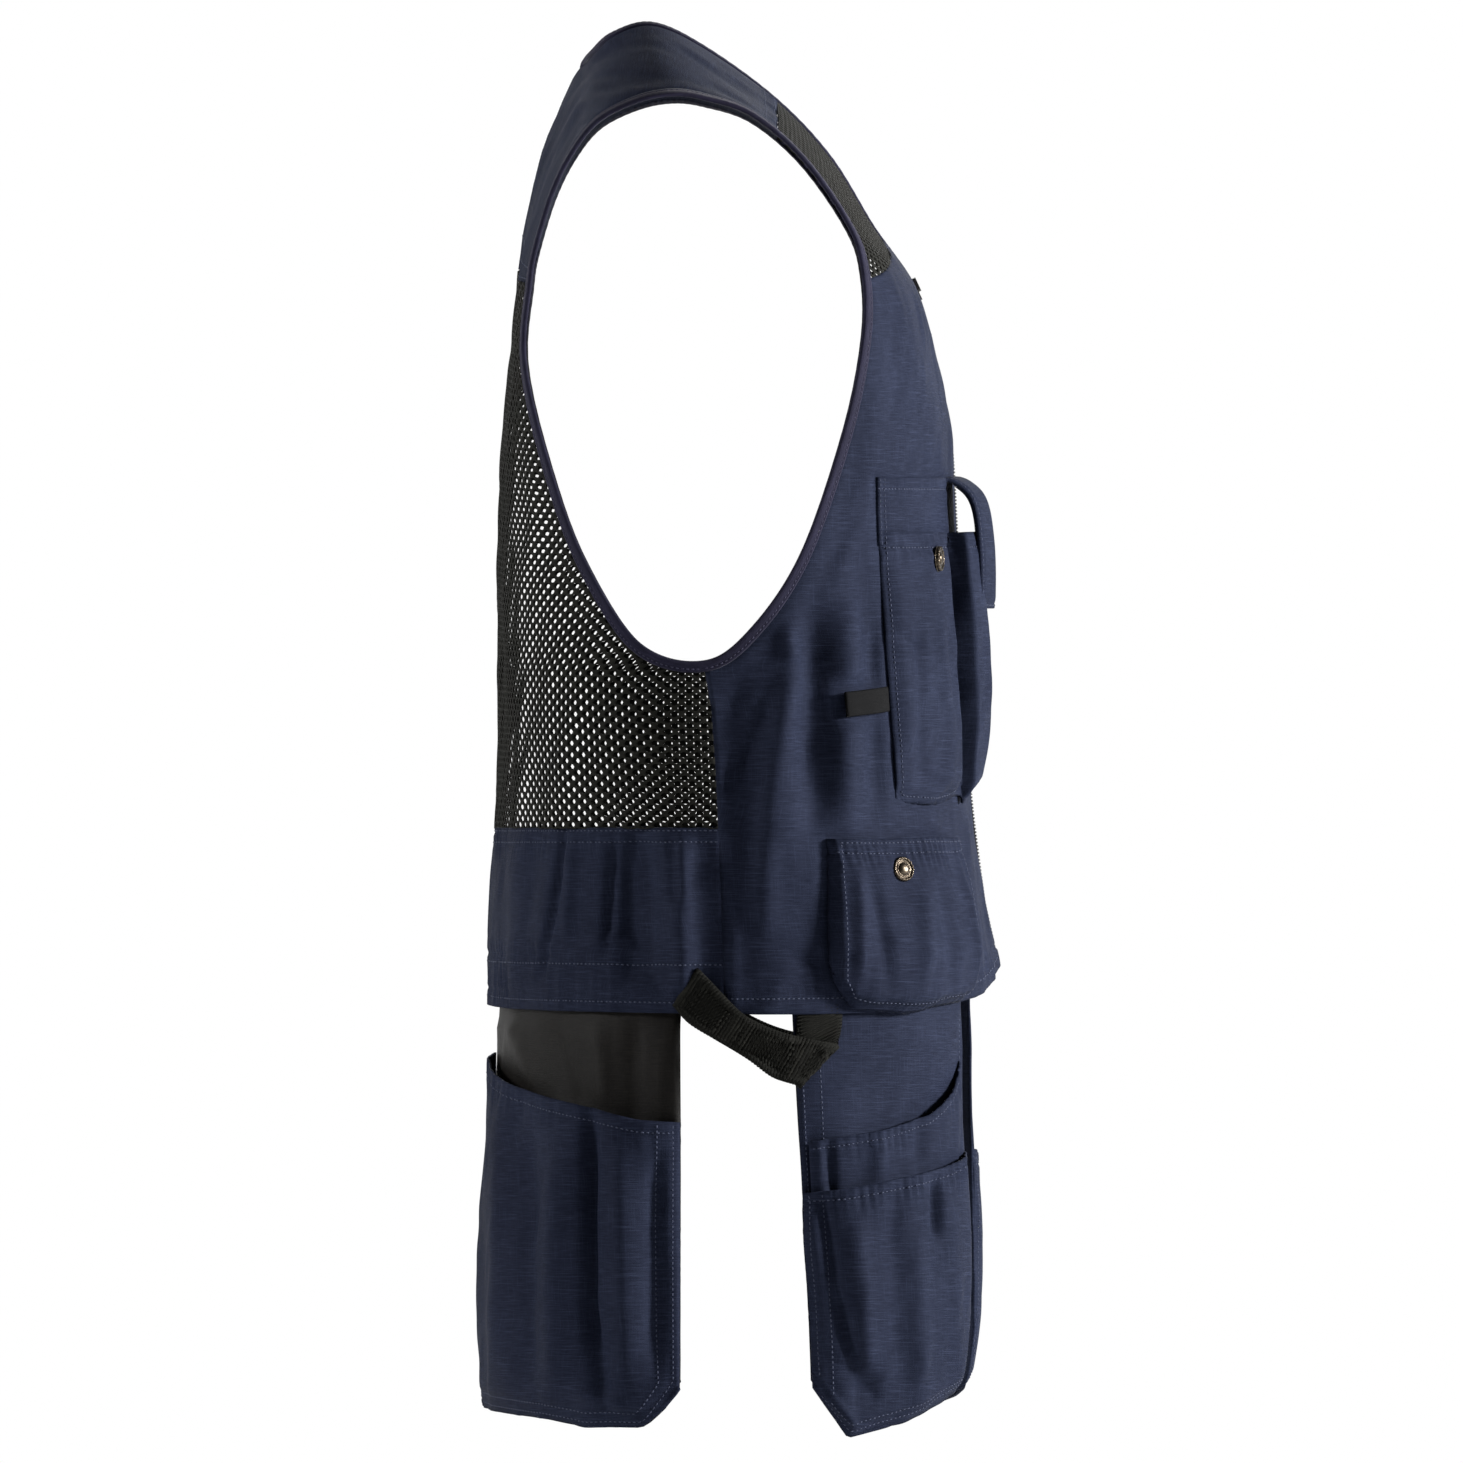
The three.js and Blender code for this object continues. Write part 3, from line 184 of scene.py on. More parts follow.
# Rows of the vest from the front hem over the shoulder to the back hem. n is the end at the middle
# or the neck, a the end at the side seam or the armhole. Forward is a share of VEST_DEPTH, out of
# HALF_WIDTH, down and lift of BODY_LENGTH. Corner and lean place the bend of a row over the shoulder.
ROWS = columns("n_forward n_out n_down a_forward a_out a_down corner lean lift", [
    [0.645, 0.028, 0.948, 0.107, 0.991, 0.995, 1.00, 0.00, -0.032],
    [0.619, 0.028, 0.882, 0.103, 0.986, 0.887, 1.00, 0.00, 0.000],
    [0.594, 0.028, 0.781, 0.095, 0.986, 0.797, 1.00, 0.00, 0.000],
    [0.578, 0.028, 0.661, 0.065, 1.000, 0.641, 1.00, 0.00, 0.000],
    [0.570, 0.028, 0.580, 0.158, 0.980, 0.609, 0.93, 0.00, 0.000],
    [0.564, 0.028, 0.499, 0.258, 0.930, 0.533, 0.80, 0.00, 0.000],
    [0.550, 0.028, 0.409, 0.343, 0.840, 0.409, 0.68, 0.00, 0.000],
    [0.513, 0.028, 0.313, 0.381, 0.780, 0.313, 0.62, 0.00, 0.000],
    [0.471, 0.028, 0.257, 0.379, 0.800, 0.248, 0.60, 0.05, 0.000],
    [0.402, 0.085, 0.205, 0.351, 0.805, 0.202, 0.55, 0.15, 0.000],
    [0.316, 0.180, 0.134, 0.262, 0.825, 0.137, 0.50, 0.30, 0.000],
    [0.207, 0.265, 0.0755, 0.162, 0.852, 0.0937, 0.50, 0.40, 0.006],
    [0.065, 0.340, 0.023, 0.069, 0.870, 0.078, 0.50, 0.50, 0.010],
    [-0.0355, 0.372, 0.000, 0.002, 0.884, 0.0745, 0.50, 0.50, 0.012],
    [-0.114, 0.344, 0.010, -0.067, 0.884, 0.0816, 0.50, 0.50, 0.010],
    [-0.154, 0.200, 0.027, -0.142, 0.870, 0.1007, 0.50, 0.40, 0.008],
    [-0.1716, 0.000, 0.0373, -0.193, 0.858, 0.132, 0.50, 0.25, 0.006],
    [-0.219, 0.000, 0.0806, -0.233, 0.836, 0.173, 0.55, 0.10, 0.000],
    [-0.262, 0.000, 0.142, -0.264, 0.812, 0.2256, 0.60, 0.00, 0.000],
    [-0.298, 0.000, 0.2457, -0.276, 0.800, 0.263, 0.62, 0.00, 0.000],
    [-0.3156, 0.000, 0.343, -0.286, 0.790, 0.343, 0.66, 0.00, 0.000],
    [-0.3353, 0.000, 0.454, -0.231, 0.820, 0.456, 0.74, 0.00, 0.000],
    [-0.339, 0.000, 0.540, -0.1657, 0.890, 0.5418, 0.84, 0.00, 0.000],
    [-0.339, 0.000, 0.605, -0.059, 0.970, 0.623, 0.95, 0.00, 0.000],
    [-0.339, 0.000, 0.661, 0.065, 1.000, 0.641, 1.00, 0.00, 0.000],
    [-0.339, 0.000, 0.751, 0.0907, 0.991, 0.753, 1.00, 0.00, 0.000],
    [-0.347, 0.000, 0.8097, 0.0947, 0.986, 0.8087, 1.00, 0.00, 0.000],
    [-0.355, 0.000, 0.907, 0.1026, 0.986, 0.907, 1.00, 0.00, 0.000],
    [-0.357, 0.000, 0.986, 0.107, 0.991, 0.995, 1.00, 0.00, 0.000],
])
SIDE_SEAM = columns("down forward", [
    [0.641, 0.065], [0.690, 0.082], [0.753, 0.0907], [0.800, 0.0945], [0.900, 0.1025], [0.995, 0.107],
])
HEM_ROW = 0
ARMPIT_ROW = 3
NECK_POINT_ROW = 8
MESH_SEAM = (8.9, 7.8)
BACK_NECK_ROW = 16
BACK_ARMPIT_ROW = 24
BACK_HEM_ROW = 28
OVER_SHOULDER = (7.2, 9.2, 17.5, 19.5)

# Soft folds round the body: turn and width in degrees, lean the degrees that a fold turns on its way
# down, depth a share of FOLD_DEPTH, top and foot shares of BODY_LENGTH.
FOLDS = columns("turn lean width depth top foot", [
    [75, 8, 6, 0.8, 0.62, 0.96],
    [67, 0, 6, 0.6, 0.56, 0.80],
    [61, 1, 4, -0.5, 0.50, 0.76],
    [97, 0, 6, 0.5, 0.80, 0.95],
    [104, 2, 7, -0.7, 0.80, 0.97],
    [118, 8, 7, 0.8, 0.80, 0.97],
    [136, 2, 8, -0.4, 0.80, 0.97],
])


def mix(a, b, share):
    """A point a share of the way from a to b."""
    return a + (b - a) * share


def ease(value, start, end):
    """0 before the start, 1 after the end and a smooth step between them."""
    share = np.clip((value - start) / (end - start), 0, 1)
    return share * share * (3 - 2 * share)


def through(rows, number, pick=None):
    """Each column at a row number: the cubic through the rows with slopes from their neighbours."""
    last = len(next(iter(rows.values()))) - 1
    number = np.clip(number, 0, last)
    i = np.minimum(np.floor(number), last - 1).astype(int)
    f = number - i
    pick = pick or (lambda k: np.clip(k, 0, last))
    a, b, c, d = (pick(i + k) for k in (-1, 0, 1, 2))
    return {name: 0.5 * (2 * row[b] + (row[c] - row[a]) * f
                         + (2 * row[a] - 5 * row[b] + 4 * row[c] - row[d]) * f ** 2
                         + (3 * row[b] - row[a] - 3 * row[c] + row[d]) * f ** 3)
            for name, row in rows.items()}


def along(rows, share):
    """Each column at a value of the first column, by the smooth curve through the rows."""
    first = next(iter(rows.values()))
    return through(rows, np.interp(share, first, np.arange(len(first))))


def section(z):
    """The body's section at a height: front, axis, back and half width in metres, and two exponents."""
    row = along(TORSO, (NECK_TOP - z) / BODY_LENGTH)
    scale = {"front": VEST_DEPTH, "axis": VEST_DEPTH, "back": VEST_DEPTH, "half": HALF_WIDTH}
    return {name: row[name] * scale.get(name, 1) for name in row}


def torso(angle, z):
    """The body's right side: the superellipse of the section at z, at an angle from straight ahead."""
    angle, z = np.broadcast_arrays(angle, z)
    at = section(z)
    ahead, across = np.cos(angle), np.sin(angle)
    front = ahead >= 0
    reach = np.where(front, at["front"] - at["axis"], at["axis"] - at["back"])
    power = np.where(front, at["round"], at["square"])
    radius = ((abs(ahead) / reach) ** power + (abs(across) / at["half"]) ** power) ** (-1 / power)
    return np.stack([at["axis"] + radius * ahead, -radius * across, z], -1)


def angle_at(x, z):
    """The angle at which the body's section at z reaches forward to x: the superellipse solved for y."""
    at = section(z)
    front = x >= at["axis"]
    reach = np.where(front, at["front"] - at["axis"], at["axis"] - at["back"])
    power = np.where(front, at["round"], at["square"])
    share = np.minimum(abs(x - at["axis"]) / reach, 1)
    return np.arctan2(at["half"] * (1 - share ** power) ** (1 / power), x - at["axis"])


def angle_of(point):
    """The angle from straight ahead at which a point of the right side stands round the body's axis."""
    return np.arctan2(-point[..., 1], point[..., 0] - section(point[..., 2])["axis"])


def unit(vectors):
    """Vectors at length one."""
    return vectors / np.maximum(np.linalg.norm(vectors, axis=-1, keepdims=True), 1e-12)


def outward(angle, z):
    """The body's outward direction: its slope round crossed with its slope down."""
    around = torso(angle + 0.01, z) - torso(angle - 0.01, z)
    down = torso(angle, z - 0.001) - torso(angle, z + 0.001)
    return unit(np.cross(around, down))


def off_body(turn, z, off):
    """A point that stands off the body by a distance, at a turn in degrees."""
    angle = np.radians(turn)
    return torso(angle, z) + outward(angle, z) * np.asarray(off)[..., None]


def fold_lift(angle, z):
    """How far the soft folds lift the cloth: a bell across each fold times an arch along it."""
    down = (NECK_TOP - z) / BODY_LENGTH
    lift = 0
    for turn, lean, width, depth, top, foot in zip(*FOLDS.values()):
        along_fold = np.clip((down - top) / (foot - top), 0, 1)
        aside = np.clip((np.degrees(angle) - turn - lean * along_fold) / width, -1, 1)
        lift = lift + FOLD_DEPTH * depth * np.sin(along_fold * np.pi) * np.cos(aside * np.pi / 2) ** 2
    return lift


def side_point(number):
    """A row's side end: on the armhole's closed curve, or on the side seam below the armpit."""
    around = BACK_ARMPIT_ROW - ARMPIT_ROW
    arm = through(ROWS, number, lambda k: ARMPIT_ROW + (k - ARMPIT_ROW) % around)
    front = through(ROWS, number, lambda k: np.clip(k, HEM_ROW, ARMPIT_ROW))
    back = through(ROWS, number, lambda k: np.clip(k, BACK_ARMPIT_ROW, BACK_HEM_ROW))
    ahead, behind = number < ARMPIT_ROW, number > BACK_ARMPIT_ROW
    out, down = (np.where(ahead, front[name], np.where(behind, back[name], arm[name]))
                 for name in ("a_out", "a_down"))
    seam = np.interp(down, SIDE_SEAM["down"], SIDE_SEAM["forward"])
    forward = np.where(ahead | behind, seam, arm["a_forward"])
    return np.stack([forward * VEST_DEPTH, -out * HALF_WIDTH, NECK_TOP - down * BODY_LENGTH], -1)


def vest_point(number, share):
    """The vest's outer face: below the armpits the body with its folds, over the shoulder a cubic."""
    number, share = (np.asarray(value, float) for value in np.broadcast_arrays(number, share))
    row = through(ROWS, number)
    n_out = np.where(number <= NECK_POINT_ROW, FRONT_EDGE, np.maximum(row["n_out"], 0) * HALF_WIDTH)
    n = np.stack([row["n_forward"] * VEST_DEPTH, -n_out, NECK_TOP - row["n_down"] * BODY_LENGTH], -1)
    a = side_point(number)
    lift = row["lift"] * BODY_LENGTH
    bend = np.stack([mix(n[..., 0], a[..., 0], row["lean"]), mix(n[..., 1], a[..., 1], row["corner"]),
                     (n[..., 2] + a[..., 2]) / 2 + lift], -1)
    t = share[..., None]
    near_n, near_a = mix(n, bend, ROUNDING), mix(a, bend, ROUNDING)
    over = (1 - t) ** 3 * n + 3 * (1 - t) ** 2 * t * near_n + 3 * (1 - t) * t ** 2 * near_a + t ** 3 * a

    z = mix(n[..., 2], a[..., 2], share) + lift * 3 * ROUNDING * share * (1 - share)
    angle = mix(angle_of(n), angle_at(a[..., 0], a[..., 2]), share)
    around = torso(angle, z) + outward(angle, z) * fold_lift(angle, z)[..., None]
    rise, full, fade, end = OVER_SHOULDER
    weight = ease(number, rise, full) * (1 - ease(number, fade, end))
    return mix(around, over, weight[..., None])


def cloth_point(number, share):
    """A point of the cloth, which stops a little way in from an edge that a binding covers."""
    length = np.linalg.norm(vest_point(number, 0) - vest_point(number, 1), axis=-1)
    tuck = EDGE_TUCK / length
    neck = np.where((number > NECK_POINT_ROW) & (number < BACK_NECK_ROW), tuck, 0)
    armhole = (tuck * ease(number, ARMPIT_ROW - 0.1, ARMPIT_ROW)
               * (1 - ease(number, BACK_ARMPIT_ROW, BACK_ARMPIT_ROW + 0.1)))
    return vest_point(number, mix(neck, 1 - armhole, share))


def grid(across, up):
    """Shares across and up for every point of a sheet, from 0 to 1."""
    return np.meshgrid(np.linspace(0, 1, across + 1), np.linspace(0, 1, up + 1))


def facing(points):
    """The outward direction at each point of a sheet: its slope up crossed with its slope across."""
    return unit(np.cross(np.gradient(points, axis=0), np.gradient(points, axis=1)))


def run_along(points):
    """Metres along a line to each of its points."""
    return np.append(0, np.linalg.norm(np.diff(points, axis=0), axis=-1).cumsum())


def lengths(points):
    """Metres across and up to each point of a sheet, summed along its rows and columns."""
    across = np.linalg.norm(np.diff(points, axis=1), axis=-1).cumsum(1)
    up = np.linalg.norm(np.diff(points, axis=0), axis=-1).cumsum(0)
    return np.pad(across, ((0, 0), (1, 0))), np.pad(up, ((1, 0), (0, 0)))


LATTICE = 61


def hills(x, y, seed):
    """Random hills about a unit wide: values on a lattice, eased from one to the next."""
    values = np.random.RandomState(seed).uniform(-1, 1, (LATTICE, LATTICE))
    i, j = np.floor(x).astype(int), np.floor(y).astype(int)
    u, v = x - i, y - j
    u, v = u * u * (3 - 2 * u), v * v * (3 - 2 * v)
    i, j, right, above = (k % LATTICE for k in (i, j, i + 1, j + 1))
    return mix(mix(values[j, i], values[j, right], u), mix(values[above, i], values[above, right], u), v)


CREASE_DEPTH = 2.8
GATHER_LENGTH = 0.0066
GROOVE_DEPTH = 0.0008
GROOVE_WIDTH = 0.0012
EDGE_FADE = (0.006, 0.024)
UNDER_TAPE = 0.0007
FLIP = np.array([1, -1, 1])


def creases(x, y, rows):
    """Ridges on a sheet in metres: each a bell curve across its line that fades at the line's ends."""
    lift = 0
    for x0, y0, x1, y1, width, height in rows:
        along_line = np.hypot(x1 - x0, y1 - y0)
        dx, dy = (x1 - x0) / along_line, (y1 - y0) / along_line
        t = ((x - x0) * dx + (y - y0) * dy) / along_line
        aside = ((x - x0) * dy - (y - y0) * dx) / width
        fade = ease(t, -0.15, 0.25) * (1 - ease(t, 0.75, 1.15))
        lift = lift + CREASE_DEPTH * height * fade * np.exp(-aside ** 2)
    return lift


def puckers(x, distance, seed, depth=0.0007, reach=0.009):
    """Small gathers along a row of stitches: uneven waves that fade with the distance."""
    wave = np.sin(2 * np.pi * x / GATHER_LENGTH + 6 * hills(x / 0.013, x * 0, seed))
    return depth * wave * (0.5 + 0.5 * hills(x / 0.010, x * 0 + 7, seed)) * np.exp(-(distance / reach) ** 2)


def sewn(distance):
    """The groove that a row of stitches pulls into cloth: a bell curve across the row."""
    return -GROOVE_DEPTH * np.exp(-(distance / GROOVE_WIDTH) ** 2)


def gathered(x, distance, seed, depth=0.0007, reach=0.009):
    """A row of stitches on cloth: the groove that it pulls and the small gathers beside it."""
    return sewn(distance) + puckers(x, distance, seed, depth, reach)


ARMHOLE_LINE = vest_point(np.linspace(ARMPIT_ROW, BACK_ARMPIT_ROW, 181), 1)
NECK_LINE = vest_point(np.linspace(NECK_POINT_ROW, BACK_NECK_ROW, 91), 0)


def pressed(sheet, lift):
    """The lift of a sheet, faded out towards the bound edges and pushed a little under their tape."""
    line = np.concatenate([ARMHOLE_LINE, NECK_LINE]).astype(np.float32)
    near = [np.sqrt(((row[:, None].astype(np.float32) - line) ** 2).sum(-1)).min(1) for row in sheet]
    edge = np.array(near)
    return lift * ease(edge, *EDGE_FADE) - UNDER_TAPE * (1 - ease(edge, 0.0065, 0.0085))


def mirrored(points):
    """A sheet on the other side of the vest, still facing out."""
    return points[:, ::-1] * FLIP


def quads(number):
    """The faces of a sheet, from the numbers of its points in rows."""
    corners = [number[:-1, :-1], number[:-1, 1:], number[1:, 1:], number[1:, :-1]]
    return np.stack(corners, -1).reshape(-1, 4)


def mend(piece, merge=False, fill=False, turn_out=False):
    """Merges a mesh's meeting points, fills its open ends and turns its faces out, each if asked."""
    mesh = bmesh.new()
    mesh.from_mesh(piece.data)
    if merge:
        bmesh.ops.remove_doubles(mesh, verts=mesh.verts, dist=1e-6)
    if fill:
        bmesh.ops.holes_fill(mesh, edges=[edge for edge in mesh.edges if edge.is_boundary])
    if turn_out:
        bmesh.ops.recalc_face_normals(mesh, faces=mesh.faces)
    mesh.to_mesh(piece.data)
    mesh.free()


def give_uv(piece, metres):
    """Gives each corner of a mesh its place on the cloth, in metres, from the places of its points."""
    corners = np.zeros(len(piece.data.loops), np.int32)
    piece.data.loops.foreach_get("vertex_index", corners)
    uv = piece.data.uv_layers.new(name="Cloth")
    uv.data.foreach_set("uv", metres[corners].ravel())


def thicken(piece, wall):
    """Puts a wall of a thickness behind a mesh."""
    thick = piece.modifiers.new("wall", "SOLIDIFY")
    thick.thickness = wall
    thick.offset = -1


def settle(piece, material, slot, *nodes):
    """Gives a piece its material and puts it on the root, in place of its nodes. Its slot is not used."""
    piece.data.materials.append(material)
    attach(piece, "root")
    if nodes:
        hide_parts(*nodes)


def cloth(name, sheets, wall, material, slot, *nodes, upright=True):
    """Sheets of points joined where they meet, with the wall's thickness behind them and metric UVs."""
    points, faces, metres, start = [], [], [], 0
    for sheet in sheets:
        rows, cols = sheet.shape[:2]
        faces.append(quads(np.arange(rows * cols).reshape(rows, cols) + start)[:, [0, 3, 2, 1]])
        x, y = lengths(sheet)
        y = sheet[..., 2] if upright else y
        points.append(sheet.reshape(-1, 3))
        metres.append(np.column_stack([x.ravel(), y.ravel()]))
        start += rows * cols
    piece = new_mesh(name, np.concatenate(points), np.concatenate(faces))
    give_uv(piece, np.concatenate(metres))
    if len(sheets) > 1:
        mend(piece, merge=True)
    thicken(piece, wall)
    settle(piece, material, slot, *nodes)


def shader_nodes(material):
    """A call that adds a node with its values and its links from other nodes, and the shader itself."""
    tree = material.node_tree

    def add(kind, sources=None, **values):
        """A node with plain values on its settings or sockets and other nodes' outputs linked in."""
        node = tree.nodes.new(kind)
        for key, value in values.items():
            if hasattr(node, key):
                setattr(node, key, value)
            else:
                node.inputs[key.replace("_", " ").title()].default_value = value
        for key, source in (sources or {}).items():
            tree.links.new(source, node.inputs[key])
        return node

    return add, tree.links.new, tree.nodes["Principled BSDF"]


def woven(name, colour, light, slub=0.5, roughness=0.8, sheen=0.0, rib=0.0006, bump=0.35, gloss=0.04,
          ribs=0):
    """Cloth with slubs along its weft, a slow drift of shade, a fine weave and, where asked, painted
    highlight and shade along its ribs.
    """
    material = finish_material(name, colour, roughness, sheen=sheen, gloss=gloss)
    add, link, shader = shader_nodes(material)
    shader.inputs["Sheen Roughness"].default_value = 0.5
    metres = add("ShaderNodeUVMap", uv_map="Cloth").outputs["UV"]

    def noise(scale, **values):
        """A cloud of noise, so many waves to a metre across and up."""
        stretch = add("ShaderNodeMapping", {"Vector": metres}, Scale=scale)
        cloud = add("ShaderNodeTexNoise", {"Vector": stretch.outputs["Vector"]}, Scale=1.0, **values)
        return cloud.outputs["Fac"]

    def math_node(operation, *terms, **values):
        """The outcome of one step of arithmetic on numbers and other nodes' outputs."""
        node = add("ShaderNodeMath", operation=operation, **values)
        for socket, term in zip(node.inputs, terms):
            if isinstance(term, (int, float)):
                socket.default_value = term
            else:
                link(term, socket)
        return node.outputs["Value"]

    streaks = noise((110, 1500, 1), Detail=3.0, Roughness=0.6)
    drift = add("ShaderNodeTexNoise", {"Vector": metres}, Scale=14.0, Detail=2.0, Roughness=0.5)
    shade = math_node("MULTIPLY_ADD", drift.outputs["Fac"], 0.5, streaks)
    marks = add("ShaderNodeMapRange", {"Value": shade}, from_min=0.75 - 0.25 * slub,
                from_max=0.75 + 0.45 * slub, to_max=0.55).outputs["Result"]
    for scale, part in (((42, 1900, 1), 1.5 * slub), ((1900, 46, 1), 0.8 * slub)):
        lines = noise(scale, Detail=1.0)
        picked = add("ShaderNodeMapRange", {"Value": lines}, from_min=0.56, from_max=0.72, to_max=part)
        marks = math_node("ADD", marks, picked.outputs["Result"], use_clamp=True)

    split = add("ShaderNodeSeparateXYZ", {"Vector": metres})
    warp, weft = (math_node("SINE", math_node("MULTIPLY", split.outputs[axis], 2 * math.pi / rib))
                  for axis in "XY")
    # With ribs set, the colour is lightened and darkened along each rib's sine: painted highlight and shade
    # on the rib crests and hollows.
    slub_and_rib_highlight_share = math_node("MULTIPLY_ADD", weft, ribs, marks, use_clamp=True) if ribs else marks
    tone = add("ShaderNodeMix", {"Factor": slub_and_rib_highlight_share}, data_type="RGBA", A=(*colour, 1.0),
               B=(*light, 1.0))
    link(tone.outputs["Result"], shader.inputs["Base Color"])
    relief = math_node("MULTIPLY_ADD", math_node("MULTIPLY", warp, weft), 0.15, streaks)
    press = add("ShaderNodeBump", {"Height": relief}, Strength=bump, Distance=0.0006)
    link(press.outputs["Normal"], shader.inputs["Normal"])
    return material


canvas = woven("navy_canvas", (0.0032, 0.0045, 0.0105), (0.0104, 0.0132, 0.0255))
THREAD = 0.00034
STITCH = 0.0023
STITCH_PITCH = 0.0031
NEARBY = 0.0005
# One loop of thread, along, across and out: a point at each end and two arches of three between them.
GRAIN = np.array([[-1, 0, -0.6], [-0.5, 1, 0.1], [-0.5, 0, 1], [-0.5, -1, 0.1],
                  [0.5, 1, 0.1], [0.5, 0, 1], [0.5, -1, 0.1], [1, 0, -0.6]])
GRAIN_FACES = np.array([[0, 2, 1], [0, 3, 2], [1, 2, 5], [1, 5, 4], [2, 3, 6], [2, 6, 5],
                        [7, 4, 5], [7, 5, 6], [0, 1, 4], [0, 4, 7], [0, 7, 6], [0, 6, 3]])
thread = finish_material("navy_thread", (0.0210, 0.0250, 0.0420), 0.7)


def on_sheet(sheet, across, up):
    """Points of a sheet at shares across and up, mixed from the four points around each."""
    rows, cols = sheet.shape[0] - 1, sheet.shape[1] - 1
    x, y = np.clip(across, 0, 1) * cols, np.clip(up, 0, 1) * rows
    i, j = np.minimum(x.astype(int), cols - 1), np.minimum(y.astype(int), rows - 1)
    u, v = (x - i)[..., None], (y - j)[..., None]
    return mix(mix(sheet[j, i], sheet[j, i + 1], u), mix(sheet[j + 1, i], sheet[j + 1, i + 1], u), v)


def stitches(name, sheet, lines, slot="navy_canvas", material=thread, sides=(1, -1)):
    """Rows of short thread loops on a sheet and its mirror image, each laid along its line's course."""
    normals = facing(sheet)
    middles, ways, outs = [], [], []
    for line in lines:
        corners = np.array(line, float)
        legs = np.linspace(0, len(corners) - 1, 40 * (len(corners) - 1) + 1)
        shares = np.column_stack([np.interp(legs, np.arange(len(corners)), corners[:, k]) for k in (0, 1)])
        course = on_sheet(sheet, *shares.T)
        run = run_along(course)
        count = max(int(run[-1] / STITCH_PITCH), 2)
        at = (np.arange(count) + 0.5) * run[-1] / count
        spots = [[np.interp(at + step, run, share) for share in shares.T] for step in (0, NEARBY, -NEARBY)]
        middle, ahead, behind = (on_sheet(sheet, *spot) for spot in spots)
        middles.append(middle)
        ways.append(unit(ahead - behind))
        outs.append(unit(on_sheet(normals, *spots[0])))
    middle, way, out = (np.concatenate(parts) for parts in (middles, ways, outs))
    aside = unit(np.cross(out, way))
    points = (middle[:, None] + way[:, None] * GRAIN[:, :1] * STITCH / 2
              + aside[:, None] * GRAIN[:, 1:2] * THREAD * 1.3 + out[:, None] * GRAIN[:, 2:] * THREAD)
    points = points.reshape(-1, 3)
    faces = (np.arange(len(middle))[:, None, None] * len(GRAIN) + GRAIN_FACES).reshape(-1, 3)
    faces = np.concatenate([faces[:, ::side] + k * len(points) for k, side in enumerate(sides)])
    points = np.concatenate([points * np.array([1, side, 1]) for side in sides])
    settle(new_mesh(name, points, faces), material, slot)


def level(up, start=0.01, end=0.99):
    """A row of stitches straight across a sheet, at a share up."""
    return [(start, up), (end, up)]


def rising(across, start, end):
    """A row of stitches straight up a sheet, at a share across."""
    return [(across, start), (across, end)]


def lifted(sheet, lift):
    """A sheet moved out along its own facing, with the points on the vest's middle kept there."""
    moved = sheet + facing(sheet) * np.broadcast_to(lift, sheet.shape[:2])[..., None]
    moved[..., 1] = np.where(abs(sheet[..., 1]) < 1e-9, 0, moved[..., 1])
    return moved


def pair(name, sheet, wall, material, slot, node, upright=True):
    """The same piece on both sides, from the right one's sheet."""
    for hand, face in (("right", sheet), ("left", mirrored(sheet))):
        cloth(f"{name}_{hand}", [face], wall, material, slot, f"{node}_{hand}", upright=upright)


def slack(x, y, seed, coarse=0.0018, fine=0.0009):
    """The unevenness of cloth: long upright hills and shorter ones that lean."""
    return (coarse * hills(x / 0.030 + 9, y / 0.080 + 9, seed)
            + fine * hills(x / 0.012 + 0.5 * y / 0.012 + 9, y / 0.030 + 9, seed + 1))


HEM_HEIGHT = 0.012
FRONT_SEAM = 0.002
# Creases as the side view shows them: from x, z to x, z, then width and height, all in mm.
FRONT_CREASES = np.array([
    [68, -333, 74, -356, 6, 1.6], [74, -356, 65, -410, 7, 1.8], [65, -410, 57, -456, 7, 1.6],
    [57, -456, 57, -517, 7, 1.2], [58, -379, 32, -434, 4, -1.4], [85, -318, 86, -456, 9, -2.0],
    [107, -318, 104, -456, 8, 1.8], [122, -330, 124, -450, 5, -1.4], [40, -360, 44, -470, 8, -0.9],
    [30, -470, 36, -560, 6, 0.9], [62, -528, 110, -540, 4, -0.6],
]) / 1000
across, up = grid(98, 136)
front = cloth_point(mix(HEM_ROW, mix(*MESH_SEAM, across), up), across)
x, y = lengths(front)
side = x[:, -1:] - x
turn = np.degrees(angle_of(front))
lift = (slack(x, y, 1) + creases(front[..., 0], front[..., 2], FRONT_CREASES)
        + gathered(x, y - HEM_HEIGHT, 3) + puckers(y, side, 4, reach=0.006) + sewn(side - FRONT_SEAM)
        + 0.0005 * ease(HEM_HEIGHT - y, 0, 0.001))
# Where a pocket or the label is sewn on, the cloth lies flat: two turns in degrees, foot and head.
COVERED = ((7, 57.5, -0.442, -0.244), (57, 69, -0.390, -0.368), (37, 73, -0.566, -0.459))
for start, end, foot, head in COVERED:
    covered = (ease(turn, start - 2, start) * (1 - ease(turn, end, end + 2))
               * ease(front[..., 2], foot - 0.004, foot) * (1 - ease(front[..., 2], head, head + 0.004)))
    lift = mix(lift, np.minimum(0.3 * lift, -0.0004), covered)
front = lifted(front, pressed(front, lift * ease(side, 0, 0.008)))
pair("front", front, CLOTH, canvas, "navy_canvas", "front_panel")
hem_share = HEM_HEIGHT / y[-1].mean()
stitches("front_stitches", front, [level(hem_share, 0.02, 1)])

